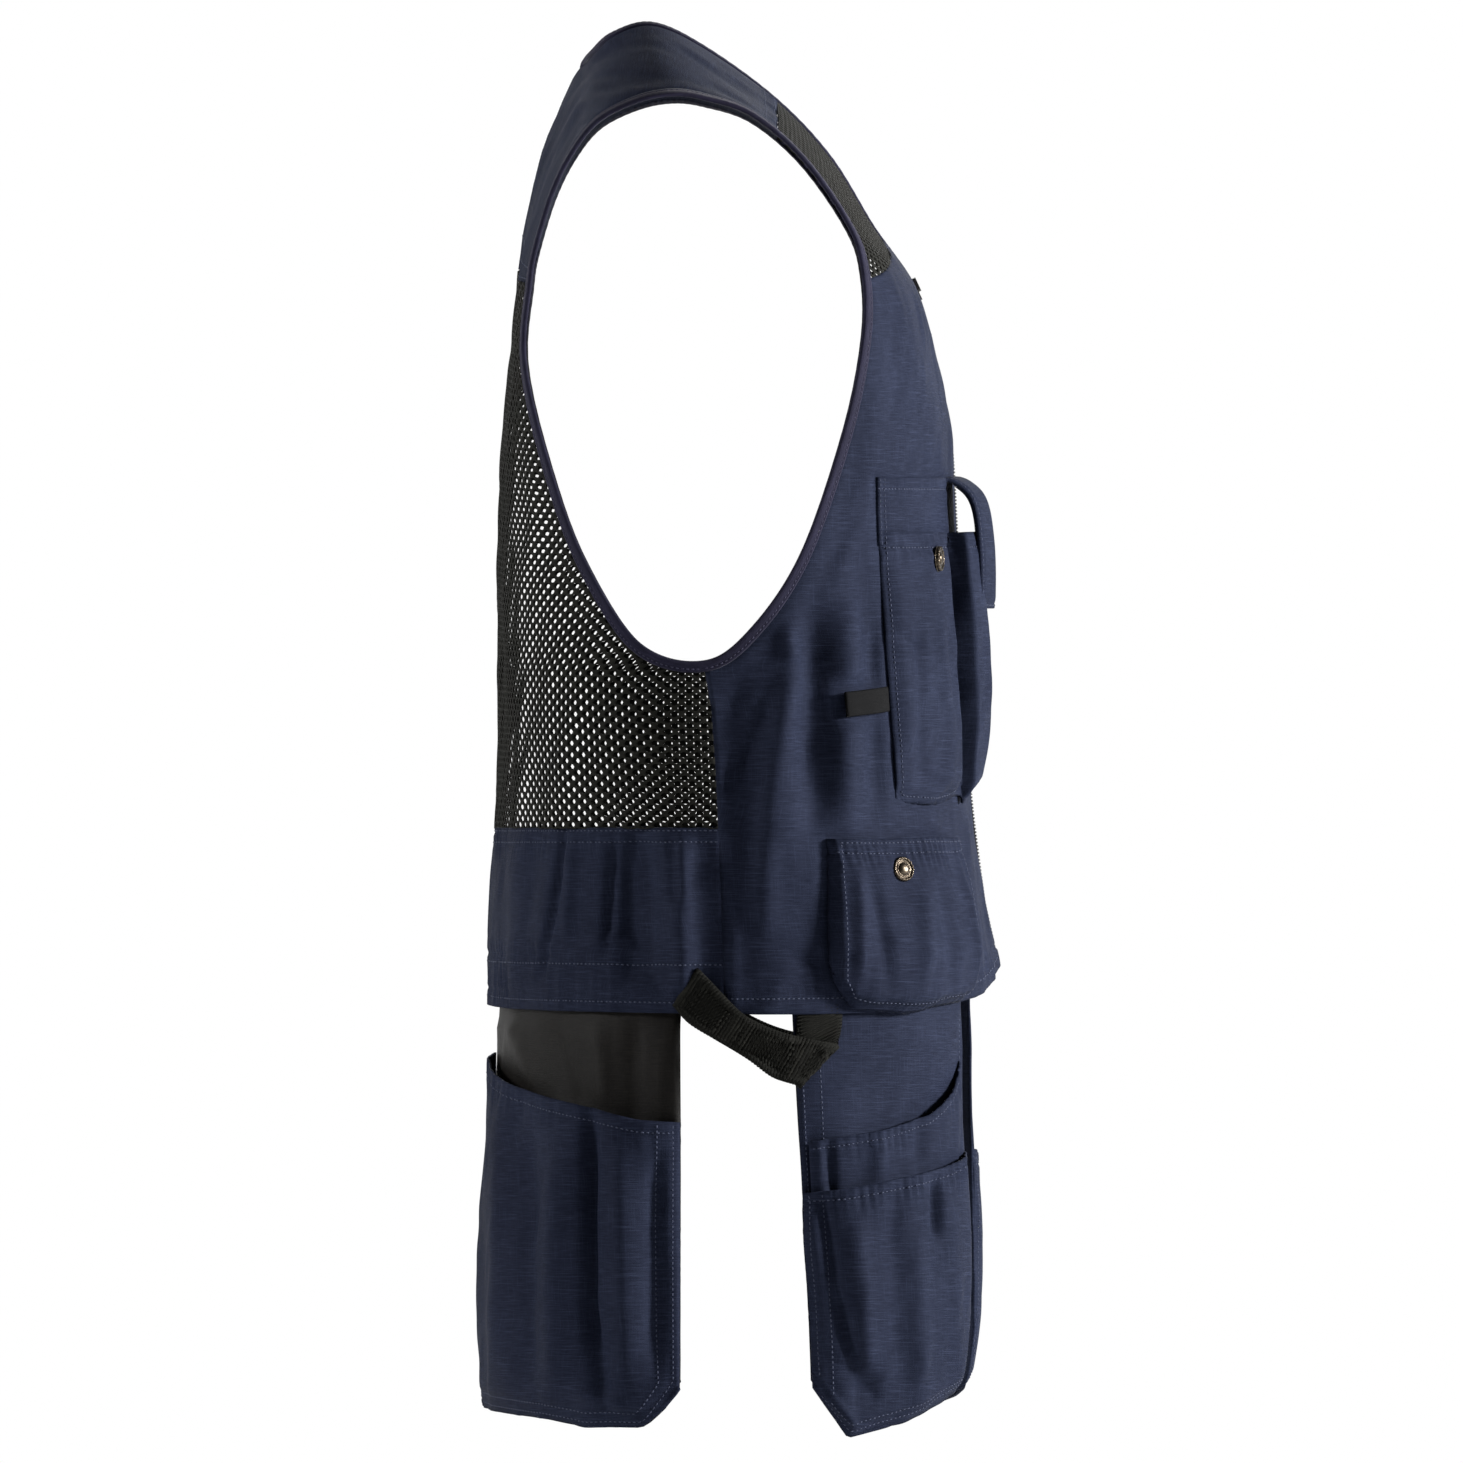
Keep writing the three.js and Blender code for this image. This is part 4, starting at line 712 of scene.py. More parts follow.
# Waist panel and yoke
# Both are single pieces of the same canvas across the back: the waist panel between the net and
# the hem, turned over and stitched twice, and the yoke over the shoulders with double seams.
BACK_YOKE_ROW = 19
WAIST_ROW = 26
FRONT_YOKE_SEAM = (11, 10.5)
NECK_SHARE = 0.72
EDGE_SEAM = 0.0018
WAIST_SEAM = 0.009
WAIST_LOW_SEAM = 0.075
WAIST_HEM = 0.010
YOKE_SEAM = 0.008
YOKE_GATHERS = 0.004
WAIST_CREASES = np.array([
    [-64, -455, -69, -498, 2.2, -1.3], [-69, -498, -75, -525, 2.2, -1.3],
    [-75, -525, -80, -552, 2.5, -1.1], [-58, -458, -62, -520, 4, 0.8],
    [-20, -455, -18, -560, 9, -2.2], [6, -455, 8, -560, 8, 1.7],
    [-33, -458, -38, -530, 3, -1.0], [-46, -522, -18, -519, 3, 0.9], [2, -460, 4, -500, 3, -0.8],
    [-90, -460, -92, -550, 6, 0.9],
]) / 1000
across, down = grid(150, 40)
waist = cloth_point(mix(WAIST_ROW, BACK_HEM_ROW, down), across)
x, y = lengths(waist)
foot = y[-1:] - y
lift = (slack(x, y, 11, 0.0014, 0.0008) + 1.5 * creases(waist[..., 0], waist[..., 2], WAIST_CREASES)
        + sewn(y - EDGE_SEAM) + gathered(x, y - WAIST_SEAM, 12)
        + gathered(x, y - WAIST_LOW_SEAM, 14, reach=0.008)
        + gathered(x, foot - WAIST_HEM, 13, depth=0.0008, reach=0.018))
lift = np.maximum(lift, -0.0010 - 0.004 * ease(foot, 0.012, 0.03)) * ease(x[:, -1:] - x, 0, 0.008)
waist = lifted(waist, lift)
cloth("waist", [waist, mirrored(waist)], CLOTH, canvas, "navy_canvas", "waist_panel")
tall = y[-1].mean()
stitches("waist_stitches", waist, [
    level(at / tall, 0, 1) for at in (EDGE_SEAM, WAIST_SEAM, WAIST_LOW_SEAM, tall - WAIST_HEM)])

across, up = grid(36, 72)
behind = np.clip((up - NECK_SHARE) / (1 - NECK_SHARE), 0, 1)
number = np.where(up <= NECK_SHARE, mix(mix(*FRONT_YOKE_SEAM, across), BACK_NECK_ROW, up / NECK_SHARE),
                  mix(BACK_NECK_ROW, BACK_YOKE_ROW, behind))
yoke = cloth_point(number, across)
x, y = lengths(yoke)
foot = y[-1:] - y
lift = slack(x, y, 21)
for edge, seed in ((y, 22), (foot, 23)):
    lift = lift + puckers(x, edge - YOKE_GATHERS, seed) + sewn(edge - EDGE_SEAM) + sewn(edge - YOKE_SEAM)
yoke = lifted(yoke, pressed(yoke, lift))
cloth("yoke_cloth", [yoke, mirrored(yoke)], CLOTH, canvas, "navy_canvas", "yoke", upright=False)
tall = y[-1].mean()
stitches("yoke_stitches", yoke, [
    level(at / tall, 0, 1) for at in (EDGE_SEAM, YOKE_SEAM, tall - YOKE_SEAM, tall - EDGE_SEAM)])

# Bindings and zip
# Navy tape is folded over the raw edges round the armholes and the neck and stitched down. A coil
# zip runs down the front on its woven tape, and its slider rests at the top.
BINDING_THICKNESS = 0.003
ARMHOLE_WIDTH = 0.007
NECK_WIDTH = 0.0055
ZIP_HALF_WIDTH = 0.0056
ZIP_ROWS = (0.02, 7.85)
TOOTH_PITCH = 0.0021
TOOTH_SIZE = (0.0024, 0.0009, 0.0006)
RIGHTWARD = np.array([0, -1, 0])
# The tape's section from its folded edge over its face and back: shares of its width and thickness.
FOLDED = np.array([
    [0.00, 0.00], [0.03, 0.30], [0.12, 0.47], [0.30, 0.52], [0.62, 0.50], [0.72, 0.40],
    [0.80, 0.48], [0.95, 0.46], [1.00, 0.20], [1.00, -0.20], [0.95, -0.46], [0.60, -0.50],
    [0.20, -0.50], [0.04, -0.32],
])
tape = woven("binding_tape", (0.0045, 0.0042, 0.0105), (0.0095, 0.0088, 0.0200), slub=0.3, sheen=0.05,
             rib=0.0007)


def edge_frames(numbers, share, into, closed=False):
    """Points on an edge, directions into the cloth and out of it, from the slopes of the vest's face."""
    point = vest_point(numbers, share)
    inner = vest_point(numbers, abs(share - 0.03))
    ahead = np.roll(point, -1, 0) - np.roll(point, 1, 0) if closed else np.gradient(point, axis=0)
    out = unit(np.cross(ahead, inner - point)) * into
    if share == 1:
        # Near the armpit the rows run along the edge, so the body's own direction is taken there.
        body = outward(angle_of(point), point[:, 2])
        near = np.minimum(abs(numbers - ARMPIT_ROW), abs(BACK_ARMPIT_ROW - numbers))
        out = unit(mix(body, out, ease(near, 0.6, 2.2)[:, None]))
    aside = unit(np.cross(ahead, out)) * -into
    return point, aside, out


def tube_faces(rows, around, closed=False):
    """The faces of rings of points, each ring closed, and the last ring joined to the first if asked."""
    number = np.arange(rows * around).reshape(rows, around)
    number = np.column_stack([number, number[:, 0]])
    return quads(np.vstack([number, number[:1]]) if closed else number)


def bound(name, frames, width, closed, *nodes):
    """The folded tape's section carried along an edge, its middle half a wall under the cloth's face."""
    point, aside, out = frames
    wave = 1 + 0.05 * np.sin(np.arange(len(point)) * 1.9)[:, None, None]
    section_at = FOLDED * np.array([width, BINDING_THICKNESS])
    points = (point[:, None] + aside[:, None] * section_at[:, :1]
              + out[:, None] * (section_at[:, 1:] * wave - CLOTH / 2))
    rows, around = points.shape[:2]
    piece = new_mesh(name, points.reshape(-1, 3), tube_faces(rows, around, closed))
    mend(piece, fill=not closed, turn_out=True)
    give_uv(piece, np.column_stack([np.repeat(run_along(point), around), np.tile(section_at[:, 0], rows)]))
    settle(piece, tape, "binding_tape", *nodes)


numbers = np.linspace(ARMPIT_ROW, BACK_ARMPIT_ROW, 361)[:-1]
armhole = edge_frames(numbers, 1, -1, closed=True)
bound("armhole_tape_right", armhole, ARMHOLE_WIDTH, True, "armhole_binding_right")
bound("armhole_tape_left", tuple(part * FLIP for part in armhole), ARMHOLE_WIDTH, True,
      "armhole_binding_left")
numbers = np.linspace(NECK_POINT_ROW, BACK_NECK_ROW, 181)
neck = edge_frames(numbers, 0, 1)
for part in neck[1:]:
    part[-1, 1] = 0
whole_neck = tuple(np.concatenate([part, part[-2::-1] * FLIP]) for part in neck)
bound("neck_tape", whole_neck, NECK_WIDTH, False, "neck_binding")


def tape_face(frames, width, into):
    """The strip of sheet on a tape's face, for its stitches."""
    point, aside, out = frames
    across = np.linspace(0, 1, 5)[:, None] * width
    height = BINDING_THICKNESS * 0.42 - CLOTH / 2
    strip = point[:, None] + aside[:, None] * across + out[:, None] * height
    return strip if into > 0 else strip[:, ::-1]


tape_thread = finish_material("tape_thread", (0.0180, 0.0175, 0.0320), 0.7)
stitches("armhole_tape_stitches", tape_face(armhole, ARMHOLE_WIDTH, -1), [rising(0.28, 0, 1)],
         slot="binding_tape", material=tape_thread)
stitches("neck_tape_stitches", tape_face(neck, NECK_WIDTH, 1), [rising(0.72, 0, 1)],
         slot="binding_tape", material=tape_thread)

numbers = np.linspace(*ZIP_ROWS, 240)
edge, above = vest_point(numbers, 0), vest_point(numbers + 0.05, 0)
run_up = unit((above - edge) * np.array([1, 0, 1]))
zip_out = unit(np.cross(run_up, RIGHTWARD))
zip_point = edge * np.array([1, 0, 1]) - zip_out * 0.0003
wide = np.linspace(-ZIP_HALF_WIDTH, ZIP_HALF_WIDTH, 17)[:, None]
swell = 0.0006 * np.exp(-(wide / 0.0022) ** 2)
zip_sheet = zip_point[:, None] + RIGHTWARD * wide + zip_out[:, None] * swell
black_tape = woven("black_tape", (0.0045, 0.0045, 0.0050), (0.0100, 0.0100, 0.0110), slub=0.2,
                   rib=0.0008)
cloth("zip_tape", [zip_sheet], 0.0015, black_tape, "black_trim", "front_zip", upright=False)
middle = zip_point + zip_out * 0.0005
run = run_along(middle)
at = np.arange(0.001, run[-1], TOOTH_PITCH)
tooth_at, tooth_up, tooth_out = (np.column_stack([np.interp(at, run, part[:, k]) for k in range(3)])
                                 for part in (middle, run_up, zip_out))
TOOTH = np.array([[w, h, t] for t in (-1, 1) for w, h in
                  ((-1, 0), (-0.9, 0.7), (-0.5, 1), (0.5, 1), (0.9, 0.7), (1, 0))])
wide, high, thick = (TOOTH[:, k:k + 1] * TOOTH_SIZE[k] for k in range(3))
points = (tooth_at[:, None] + RIGHTWARD * wide + tooth_out[:, None] * high
          + tooth_up[:, None] * thick)
sides = [[k, (k + 1) % 6, (k + 1) % 6 + 6, k + 6] for k in range(6)]
ends = [[5, 4, 3, 2], [5, 2, 1, 0], [8, 9, 10, 11], [6, 7, 8, 11]]
faces = (np.arange(len(at))[:, None, None] * 12 + np.array(sides + ends)).reshape(-1, 4)
teeth = new_mesh("zip_teeth", points.reshape(-1, 3), faces)
coil = finish_material("black_coil", (0.008, 0.008, 0.009), 0.35, gloss=0.4)
settle(teeth, coil, "black_trim", "front_zip")

enamel = finish_material("black_enamel", (0.015, 0.015, 0.016), 0.32, metallic=0.6, gloss=0.5)
add, link, shader = shader_nodes(enamel)
place = add("ShaderNodeTexCoord").outputs["Object"]
worn = add("ShaderNodeTexNoise", {"Vector": place}, Scale=900.0, Detail=3.0)
rough = add("ShaderNodeMapRange", {"Value": worn.outputs["Fac"]}, to_min=0.2, to_max=0.55)
link(rough.outputs["Result"], shader.inputs["Roughness"])
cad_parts["zip_slider"].material_slots[0].material = enamel

# Nets of the back and shoulders
# Knitted black-olive net with oval holes in staggered rows, sewn in between the yoke, the fronts and
# the waist panel. Its holes are real, so the far side shows through.
MESH_WALL = 0.0007
HOLE_PITCH = 0.0072
HOLE_ROW = 0.0036
HOLE = (0.0042, 0.0037)
LEFT_STRETCH = 0.042
MEETING = 0.19


def net(name, sheet, *nodes, mirror=False):
    """A net on a sheet: diamonds that share their corners and edge middles, each with an oval hole.

    The left half is knitted a little wider, so the halves' holes only lie in line at one distance."""
    x, y = lengths(sheet)
    width, height = x[:, -1], y[:, 0]
    rows, holes = np.meshgrid(np.arange(int(height[-1] / HOLE_ROW) + 2),
                              np.arange(int(width.max() / HOLE_PITCH) + 2), indexing="ij")
    centre = np.stack([4 * holes + 2 * (rows % 2), 2 * rows], -1).reshape(-1, 2)
    ring = np.array([[0, 2], [1, 1], [2, 0], [1, -1], [0, -2], [-1, -1], [-2, 0], [-1, 1]])
    keys = (centre[:, None] + ring).reshape(-1, 2)
    corners, outer = np.unique(keys, axis=0, return_inverse=True)
    unit_size = np.array([HOLE_PITCH / 4, HOLE_ROW / 2])
    turn = np.arctan2(*(ring * unit_size).T)
    oval = np.array(HOLE) / 2 * np.column_stack([np.sin(turn), np.cos(turn)])
    inner = (centre * unit_size)[:, None] + oval
    flat = np.concatenate([corners * unit_size, inner.reshape(-1, 2)])
    if mirror:
        flat[:, 0] += LEFT_STRETCH * (flat[:, 0] - MEETING)
    v = np.clip(flat[:, 1], 0, height[-1])
    up = np.interp(v, height, np.linspace(0, 1, len(height)))
    wide = np.interp(v, height, width)
    u = np.clip(flat[:, 0], 0, wide)
    outer = outer.reshape(-1, 8)
    inner = np.arange(len(centre) * 8).reshape(-1, 8) + len(corners)
    after = np.arange(8) - 7
    faces = np.stack([outer, outer[:, after], inner[:, after], inner], -1).reshape(-1, 4)
    a, b, c, d = (np.column_stack([u, v])[faces[:, k]] for k in range(4))
    area = np.cross(c - a, d - b)
    faces = faces[abs(area) > 1e-8]
    used, faces = np.unique(faces, return_inverse=True)
    faces = faces.reshape(-1, 4)
    metres = np.column_stack([u, v])[used]
    points = on_sheet(sheet, (u / wide)[used], up[used])
    if mirror:
        points, faces = points * FLIP, faces[:, ::-1]
    piece = new_mesh(name, points, faces)
    give_uv(piece, metres)
    thicken(piece, MESH_WALL)
    settle(piece, netting, "olive_mesh", *nodes)


netting = woven("olive_netting", (0.0042, 0.0042, 0.0036), (0.0085, 0.0085, 0.0070), rib=0.0009)
across, down = grid(100, 120)
rim, into, _ = edge_frames(np.linspace(BACK_YOKE_ROW, BACK_ARMPIT_ROW, 201), 1, -1)
seam = side_point(np.linspace(BACK_ARMPIT_ROW, WAIST_ROW, 41)[1:])
limit = np.concatenate([rim + into * EDGE_TUCK, seam])
order = np.argsort(limit[:, 2])
ends = through(ROWS, np.array([BACK_YOKE_ROW, WAIST_ROW]))
foot = NECK_TOP - BODY_LENGTH * ends["n_down"][1]
slant = across
for _ in range(4):
    # The seam's height follows the turn round the body and the turn the height: four rounds settle it.
    z = mix(NECK_TOP - BODY_LENGTH * mix(ends["n_down"][0], ends["a_down"][0], slant), foot, down)
    angle = mix(np.pi, angle_at(np.interp(z, limit[order, 2], limit[order, 0]), z), across)
    slant = np.minimum((np.pi - angle) / (np.pi - angle[0, -1]), 1)
back = torso(angle, z) + outward(angle, z) * fold_lift(angle, z)[..., None]
x, y = lengths(back)
back = lifted(back, pressed(back, slack(x, y, 31, coarse=0.0012) * ease(x[:, -1:] - x, 0, 0.01)))
net("back_net_right", back, "back_mesh")
net("back_net_left", back, "back_mesh", mirror=True)
across, up = grid(60, 60)
number = mix(mix(*MESH_SEAM, across), mix(*FRONT_YOKE_SEAM, across), up)
shoulder = cloth_point(number, across)
shoulder = lifted(shoulder, pressed(shoulder, 0.0))
net("shoulder_net_right", shoulder, "shoulder_mesh_right")
net("shoulder_net_left", shoulder, "shoulder_mesh_left", mirror=True)

# Chest patch, pocket, flap, stud and label
# A canvas patch carries the deep pocket, whose face has an inverted pleat between its two lobes. A
# stiff strap arches over its mouth, and a press stud holds the pleat's near edge. A folded satin tab
# is sewn in at the pocket's rear edge.
PATCH_HEIGHT = 0.041
PATCH_OVERLAP = 0.008
PATCH_FRONT_TURN = 27
PATCH_SEAM = 0.007
PATCH_SIDE_SEAM = 0.006
POCKET_TOP = 0.278
POCKET_HEIGHT = 0.162
POCKET_DEPTH = 0.015
CHEST_REAR_TURN = 57
CHEST_FRONT_TURN = 9
POCKET_HEM = 0.009
POCKET_SIDE_SEAM = 0.002
POCKET_FOOT_SEAM = 0.003
# Across and up a pocket's face: how far it stands out, in shares of its depth, and its foot's rise.
CHEST_ACROSS = columns("share proud rise", [
    [0.00, 0.00, 0.16], [0.05, 0.90, 0.12], [0.20, 1.15, 0.04], [0.38, 1.10, 0.02],
    [0.430, 1.00, 0.00], [0.436, 0.02, 0.03], [0.540, 0.02, 0.03], [0.56, 0.66, 0.03],
    [0.74, 0.50, 0.00], [0.94, 0.36, 0.00], [1.00, 0.00, 0.02],
])
CHEST_UP = columns("share proud", [
    [0.00, 0.00], [0.06, 0.55], [0.30, 0.92], [0.65, 1.00], [0.90, 0.86], [1.00, 0.78],
])


def read(rows, share, soft=0.012):
    """Each column by straight lines over the first one, averaged over a short run to round its bends."""
    first, *names = rows
    reach = np.minimum(soft, np.minimum(share, 1 - share))
    parts = [share + reach * k for k in (-1, -0.5, 0, 0.5, 1)]
    return {name: sum(np.interp(part, rows[first], rows[name]) for part in parts) / 5 for name in names}


def pocket_face(u, v, turns, top, height, depth, across_rows, up_rows, soft=0.012):
    """A pocket's face off the body: depth times the shares across and up, its foot cut up by rise."""
    at = read(across_rows, u, soft)
    z = -(top + height * (1 - at["rise"]) * (1 - v))
    turn = mix(*turns, u)
    off = depth * at["proud"] * read(up_rows, v)["proud"]
    return off_body(turn, z, np.maximum(off, fold_lift(np.radians(turn), z)) + CLOTH)


def chest_face(u, v):
    """The chest pocket's face at shares across and up."""
    return pocket_face(u, v, (CHEST_FRONT_TURN, CHEST_REAR_TURN), POCKET_TOP, POCKET_HEIGHT,
                       POCKET_DEPTH, CHEST_ACROSS, CHEST_UP, soft=0.005)


across, up = grid(40, 18)
z = PATCH_HEIGHT * up - PATCH_OVERLAP - POCKET_TOP
patch = off_body(mix(PATCH_FRONT_TURN, CHEST_REAR_TURN, across), z, CLOTH)
x, y = lengths(patch)
rear_edge = x[:, -1:] - x
patch = lifted(patch, slack(x, y, 41, 0.0004, 0.0003) + gathered(x, y[-1:] - y - PATCH_SEAM, 42)
               + sewn(rear_edge - EDGE_SEAM) + sewn(rear_edge - PATCH_SIDE_SEAM))
pair("chest_patch", patch, 2 * CLOTH, canvas, "navy_canvas", "chest_patch")
stitches("chest_patch_stitches", patch, [level(1 - PATCH_SEAM / y[-1, 0], 0, 1)] + [
    rising(1 - seam / x[0, -1], 0, 1) for seam in (EDGE_SEAM, PATCH_SIDE_SEAM)])

# Creases on a pocket's face: shares across and up from end to end, a share of width, height in mm.
CHEST_CREASES = np.array([
    [0.25, 0.05, 0.32, 0.95, 0.05, 0.9], [0.66, 0.15, 0.72, 0.85, 0.05, 1.1],
    [0.88, 0.10, 0.84, 0.70, 0.03, -0.9], [0.60, 0.06, 0.90, 0.16, 0.03, 0.7],
    [0.80, 0.55, 0.96, 0.62, 0.02, -0.5], [0.60, 0.90, 0.94, 0.92, 0.02, 0.4],
])
# The columns of points stand close together at the walls of the pleat: start, end and their number.
CHEST_STEPS = ((0, 0.42, 32), (0.42, 0.45, 13), (0.45, 0.535, 6), (0.535, 0.57, 8), (0.57, 1, 32))
chest_columns = np.append(0, np.concatenate([np.linspace(*steps)[1:] for steps in CHEST_STEPS]))
across, up = np.meshgrid(chest_columns, np.linspace(0, 1, 77))
chest = chest_face(across, up)
x, y = lengths(chest)
below = y[-1:] - y
chest = lifted(chest, slack(x, y, 51) + 0.001 * creases(across, up, CHEST_CREASES)
               + gathered(x, below - POCKET_HEM, 52, 0.0009) + puckers(x, y, 53)
               + sewn((1 - across) * x[:, -1:] - POCKET_SIDE_SEAM) + sewn(y - POCKET_FOOT_SEAM))
pair("chest_pocket", chest, CLOTH, canvas, "navy_canvas", "chest_pocket")
hem = 1 - POCKET_HEM / y[-1].mean()
chest_lines = [
    level(hem, 0.02, 0.42), level(hem, 0.57), rising(0.975, 0.02, 0.99),
    level(0.022, 0.03, 0.42), level(0.022, 0.57, 0.97), rising(0.02, 0.05, 0.97)]


def chest_share(u):
    """The share of the sheet's columns at a share of the pocket's width."""
    return float(np.interp(u, chest_columns, np.linspace(0, 1, len(chest_columns))))


stitches("chest_pocket_stitches", chest, [
    [(chest_share(u), v) for u, v in line] for line in chest_lines])

FLAP_LENGTH = 0.078
FLAP_REACH = 0.026
FLAP_WIDTH = 0.048
FLAP_MIDDLE = 0.052
FLAP_THICKNESS = 0.0026
FLAP_RISE = 0.033
FLAP_DROOP = 0.3
FLAP_SEAM = 0.002
FLAP_EDGE = 0.0012
# The strap's path over the mouth: shares of its reach forward and of its length down.
FLAP_PATH = columns("forward down", [
    [0.02, 0.00], [0.16, -0.01], [0.42, 0.03], [0.70, 0.12], [0.86, 0.26], [0.94, 0.48],
    [0.97, 0.74], [0.96, 1.00],
])
across, up = grid(24, 70)
top = FLAP_RISE - POCKET_TOP
anchor = off_body(CHEST_FRONT_TURN, top, 0.0)[0]
path = through(FLAP_PATH, (1 - up) * 7)
swing = (across - 0.5) * FLAP_WIDTH
flap = np.stack([anchor + path["forward"] * FLAP_REACH - FLAP_DROOP * abs(swing), -FLAP_MIDDLE - swing,
                 top - path["down"] * FLAP_LENGTH], -1)
rim = np.minimum(np.minimum(across, 1 - across) * FLAP_WIDTH, up * FLAP_LENGTH)
x, y = lengths(flap)
flap = lifted(flap, slack(x, y, 61, 0.0003, 0.0002) + sewn(rim - FLAP_SEAM)
              - FLAP_EDGE / 2 * ease(FLAP_EDGE - rim, 0, FLAP_EDGE))
pair("chest_flap", flap, FLAP_THICKNESS, canvas, "navy_canvas", "chest_flap", upright=False)
stitches("chest_flap_stitches", flap, [[(0.045, 1), (0.045, 0.02), (0.955, 0.02), (0.955, 1)]])

SNAP_RADIUS = 0.0075
SNAP_HEIGHT = 0.0032
STUD_RINGS = 49
STUD_SIDES = 72
STUD_BEADS = 18
CHEST_SNAP = (0.68, 0.90)
# A press stud from its back over its beaded rim and ring groove to its dome: radius, height, bead.
STUD = columns("radius height bead", [
    [0.00, 0.00, 0], [0.97, 0.00, 0], [1.00, 0.12, 0], [1.00, 0.42, 0.5], [0.95, 0.66, 1],
    [0.88, 0.76, 1], [0.81, 0.68, 0.5], [0.77, 0.50, 0], [0.70, 0.46, 0], [0.66, 0.56, 0],
    [0.60, 0.60, 0], [0.55, 0.54, 0], [0.52, 0.56, 0], [0.44, 0.78, 0], [0.30, 0.93, 0],
    [0.15, 0.99, 0], [0.00, 1.00, 0],
])
brass = finish_material("aged_brass", (0.20, 0.135, 0.065), 0.35, metallic=1.0, gloss=0.5)
add, link, shader = shader_nodes(brass)
place = add("ShaderNodeTexCoord").outputs["Object"]
stain = add("ShaderNodeTexNoise", {"Vector": place}, Scale=420.0, Detail=4.0, Roughness=0.65)
spread = add("ShaderNodeMapRange", {"Value": stain.outputs["Fac"]}, from_min=0.35, from_max=0.65)
spread = spread.outputs["Result"]
tone = add("ShaderNodeMix", {"Factor": spread}, data_type="RGBA", A=(0.012, 0.009, 0.007, 1.0),
           B=(0.052, 0.042, 0.031, 1.0))
link(tone.outputs["Result"], shader.inputs["Base Color"])
rough = add("ShaderNodeMapRange", {"Value": spread}, to_min=0.5, to_max=0.24)
link(rough.outputs["Result"], shader.inputs["Roughness"])


def stud(name, sheet, place):
    """A press stud turned from its profile about the cloth's outward direction, beads round its rim."""
    place = [np.array([share]) for share in place]
    point = on_sheet(sheet, *place)[0]
    out = unit(on_sheet(facing(sheet), *place))[0]
    side = unit(np.cross(out, np.array([0, 0, 1.0])))
    rise = np.cross(side, out)
    fine = through(STUD, np.linspace(0, len(STUD["radius"]) - 1, STUD_RINGS))
    turn = np.linspace(0, 2 * np.pi, STUD_SIDES + 1)[:-1]
    beads = fine["bead"][:, None] * np.sin(STUD_BEADS * turn)
    radius = np.maximum(fine["radius"], 0)[:, None] * SNAP_RADIUS * (1 + 0.022 * beads)
    height = fine["height"][:, None] * SNAP_HEIGHT * (1 + 0.06 * beads)
    points = (point + side * (radius * np.cos(turn))[..., None]
              + rise * (radius * np.sin(turn))[..., None] + out * (height - 0.0003)[..., None])
    faces = tube_faces(*points.shape[:2])
    for hand, flip in (("right", 1), ("left", -1)):
        piece = new_mesh(f"{name}_stud_{hand}", points.reshape(-1, 3) * np.array([1, flip, 1]), faces)
        mend(piece, merge=True, turn_out=True)
        settle(piece, brass, "aged_brass", f"{name}_snap_{hand}")


stud("chest", chest, (chest_share(CHEST_SNAP[0]), CHEST_SNAP[1]))

LABEL_DROP = 0.370
LABEL_SWEEP = 10.5
LABEL_HEIGHT = 0.015
LABEL_SLANT = 0.0035
LABEL_THICKNESS = 0.0016
LABEL_GAP = 0.6
LABEL_STAND = 0.006
across, up = grid(30, 18)
z = -(LABEL_DROP + LABEL_HEIGHT * (1 - up) + LABEL_SLANT * across)
stand = LABEL_THICKNESS + 0.0004 + LABEL_STAND * np.sin(across * np.pi / 2)
label = off_body(CHEST_REAR_TURN + LABEL_GAP + across * LABEL_SWEEP, z, stand)
rim = np.minimum(np.minimum(up, 1 - up) * LABEL_HEIGHT, (1 - across) * 0.028)
label = lifted(label, 0.0003 * np.sin(across * 7) - 0.0005 * ease(0.001 - rim, 0, 0.001))
satin = woven("black_satin", (0.0014, 0.0014, 0.0016), (0.0032, 0.0032, 0.0035), slub=0.1, roughness=0.8,
              rib=0.0005)
cloth("label", [label], LABEL_THICKNESS, satin, "black_trim", "side_label")

# Lower pocket
# The waist pocket is a canvas box with a gusset, its rounded lower corners and wide hem stitched
# down, closed by a domed press stud.
LOWER_TOP = 0.461
LOWER_HEIGHT = 0.103
LOWER_DEPTH = 0.014
LOWER_TURNS = (38, 72.5)
LOWER_SNAP = (0.62, 0.82)
LOWER_SIDE_SEAM = 0.006
LOWER_FOOT_SEAM = 0.005
LOWER_ACROSS = columns("share proud rise", [
    [0.00, 0.00, 0.36], [0.04, 0.80, 0.20], [0.12, 0.90, 0.05], [0.28, 1.00, 0.03], [0.45, 1.00, 0.01],
    [0.62, 0.95, 0.00], [0.78, 0.86, 0.01], [0.90, 0.76, 0.03], [0.96, 0.56, 0.12], [1.00, 0.00, 0.22],
])
LOWER_UP = columns("share proud", [
    [0.00, 0.00], [0.07, 0.70], [0.30, 1.00], [0.60, 0.95], [0.85, 0.70], [1.00, 0.55],
])
LOWER_CREASES = np.array([
    [0.10, 0.10, 0.14, 0.80, 0.03, 0.9], [0.35, 0.10, 0.40, 0.78, 0.05, -0.9],
    [0.55, 0.12, 0.52, 0.70, 0.05, 0.9], [0.75, 0.10, 0.80, 0.75, 0.04, -0.8],
    [0.88, 0.15, 0.86, 0.85, 0.03, 0.7], [0.45, 0.30, 0.75, 0.42, 0.04, 0.6],
])
across, up = grid(92, 60)
lower = pocket_face(across, up, LOWER_TURNS, LOWER_TOP, LOWER_HEIGHT, LOWER_DEPTH, LOWER_ACROSS, LOWER_UP)
x, y = lengths(lower)
below = y[-1:] - y
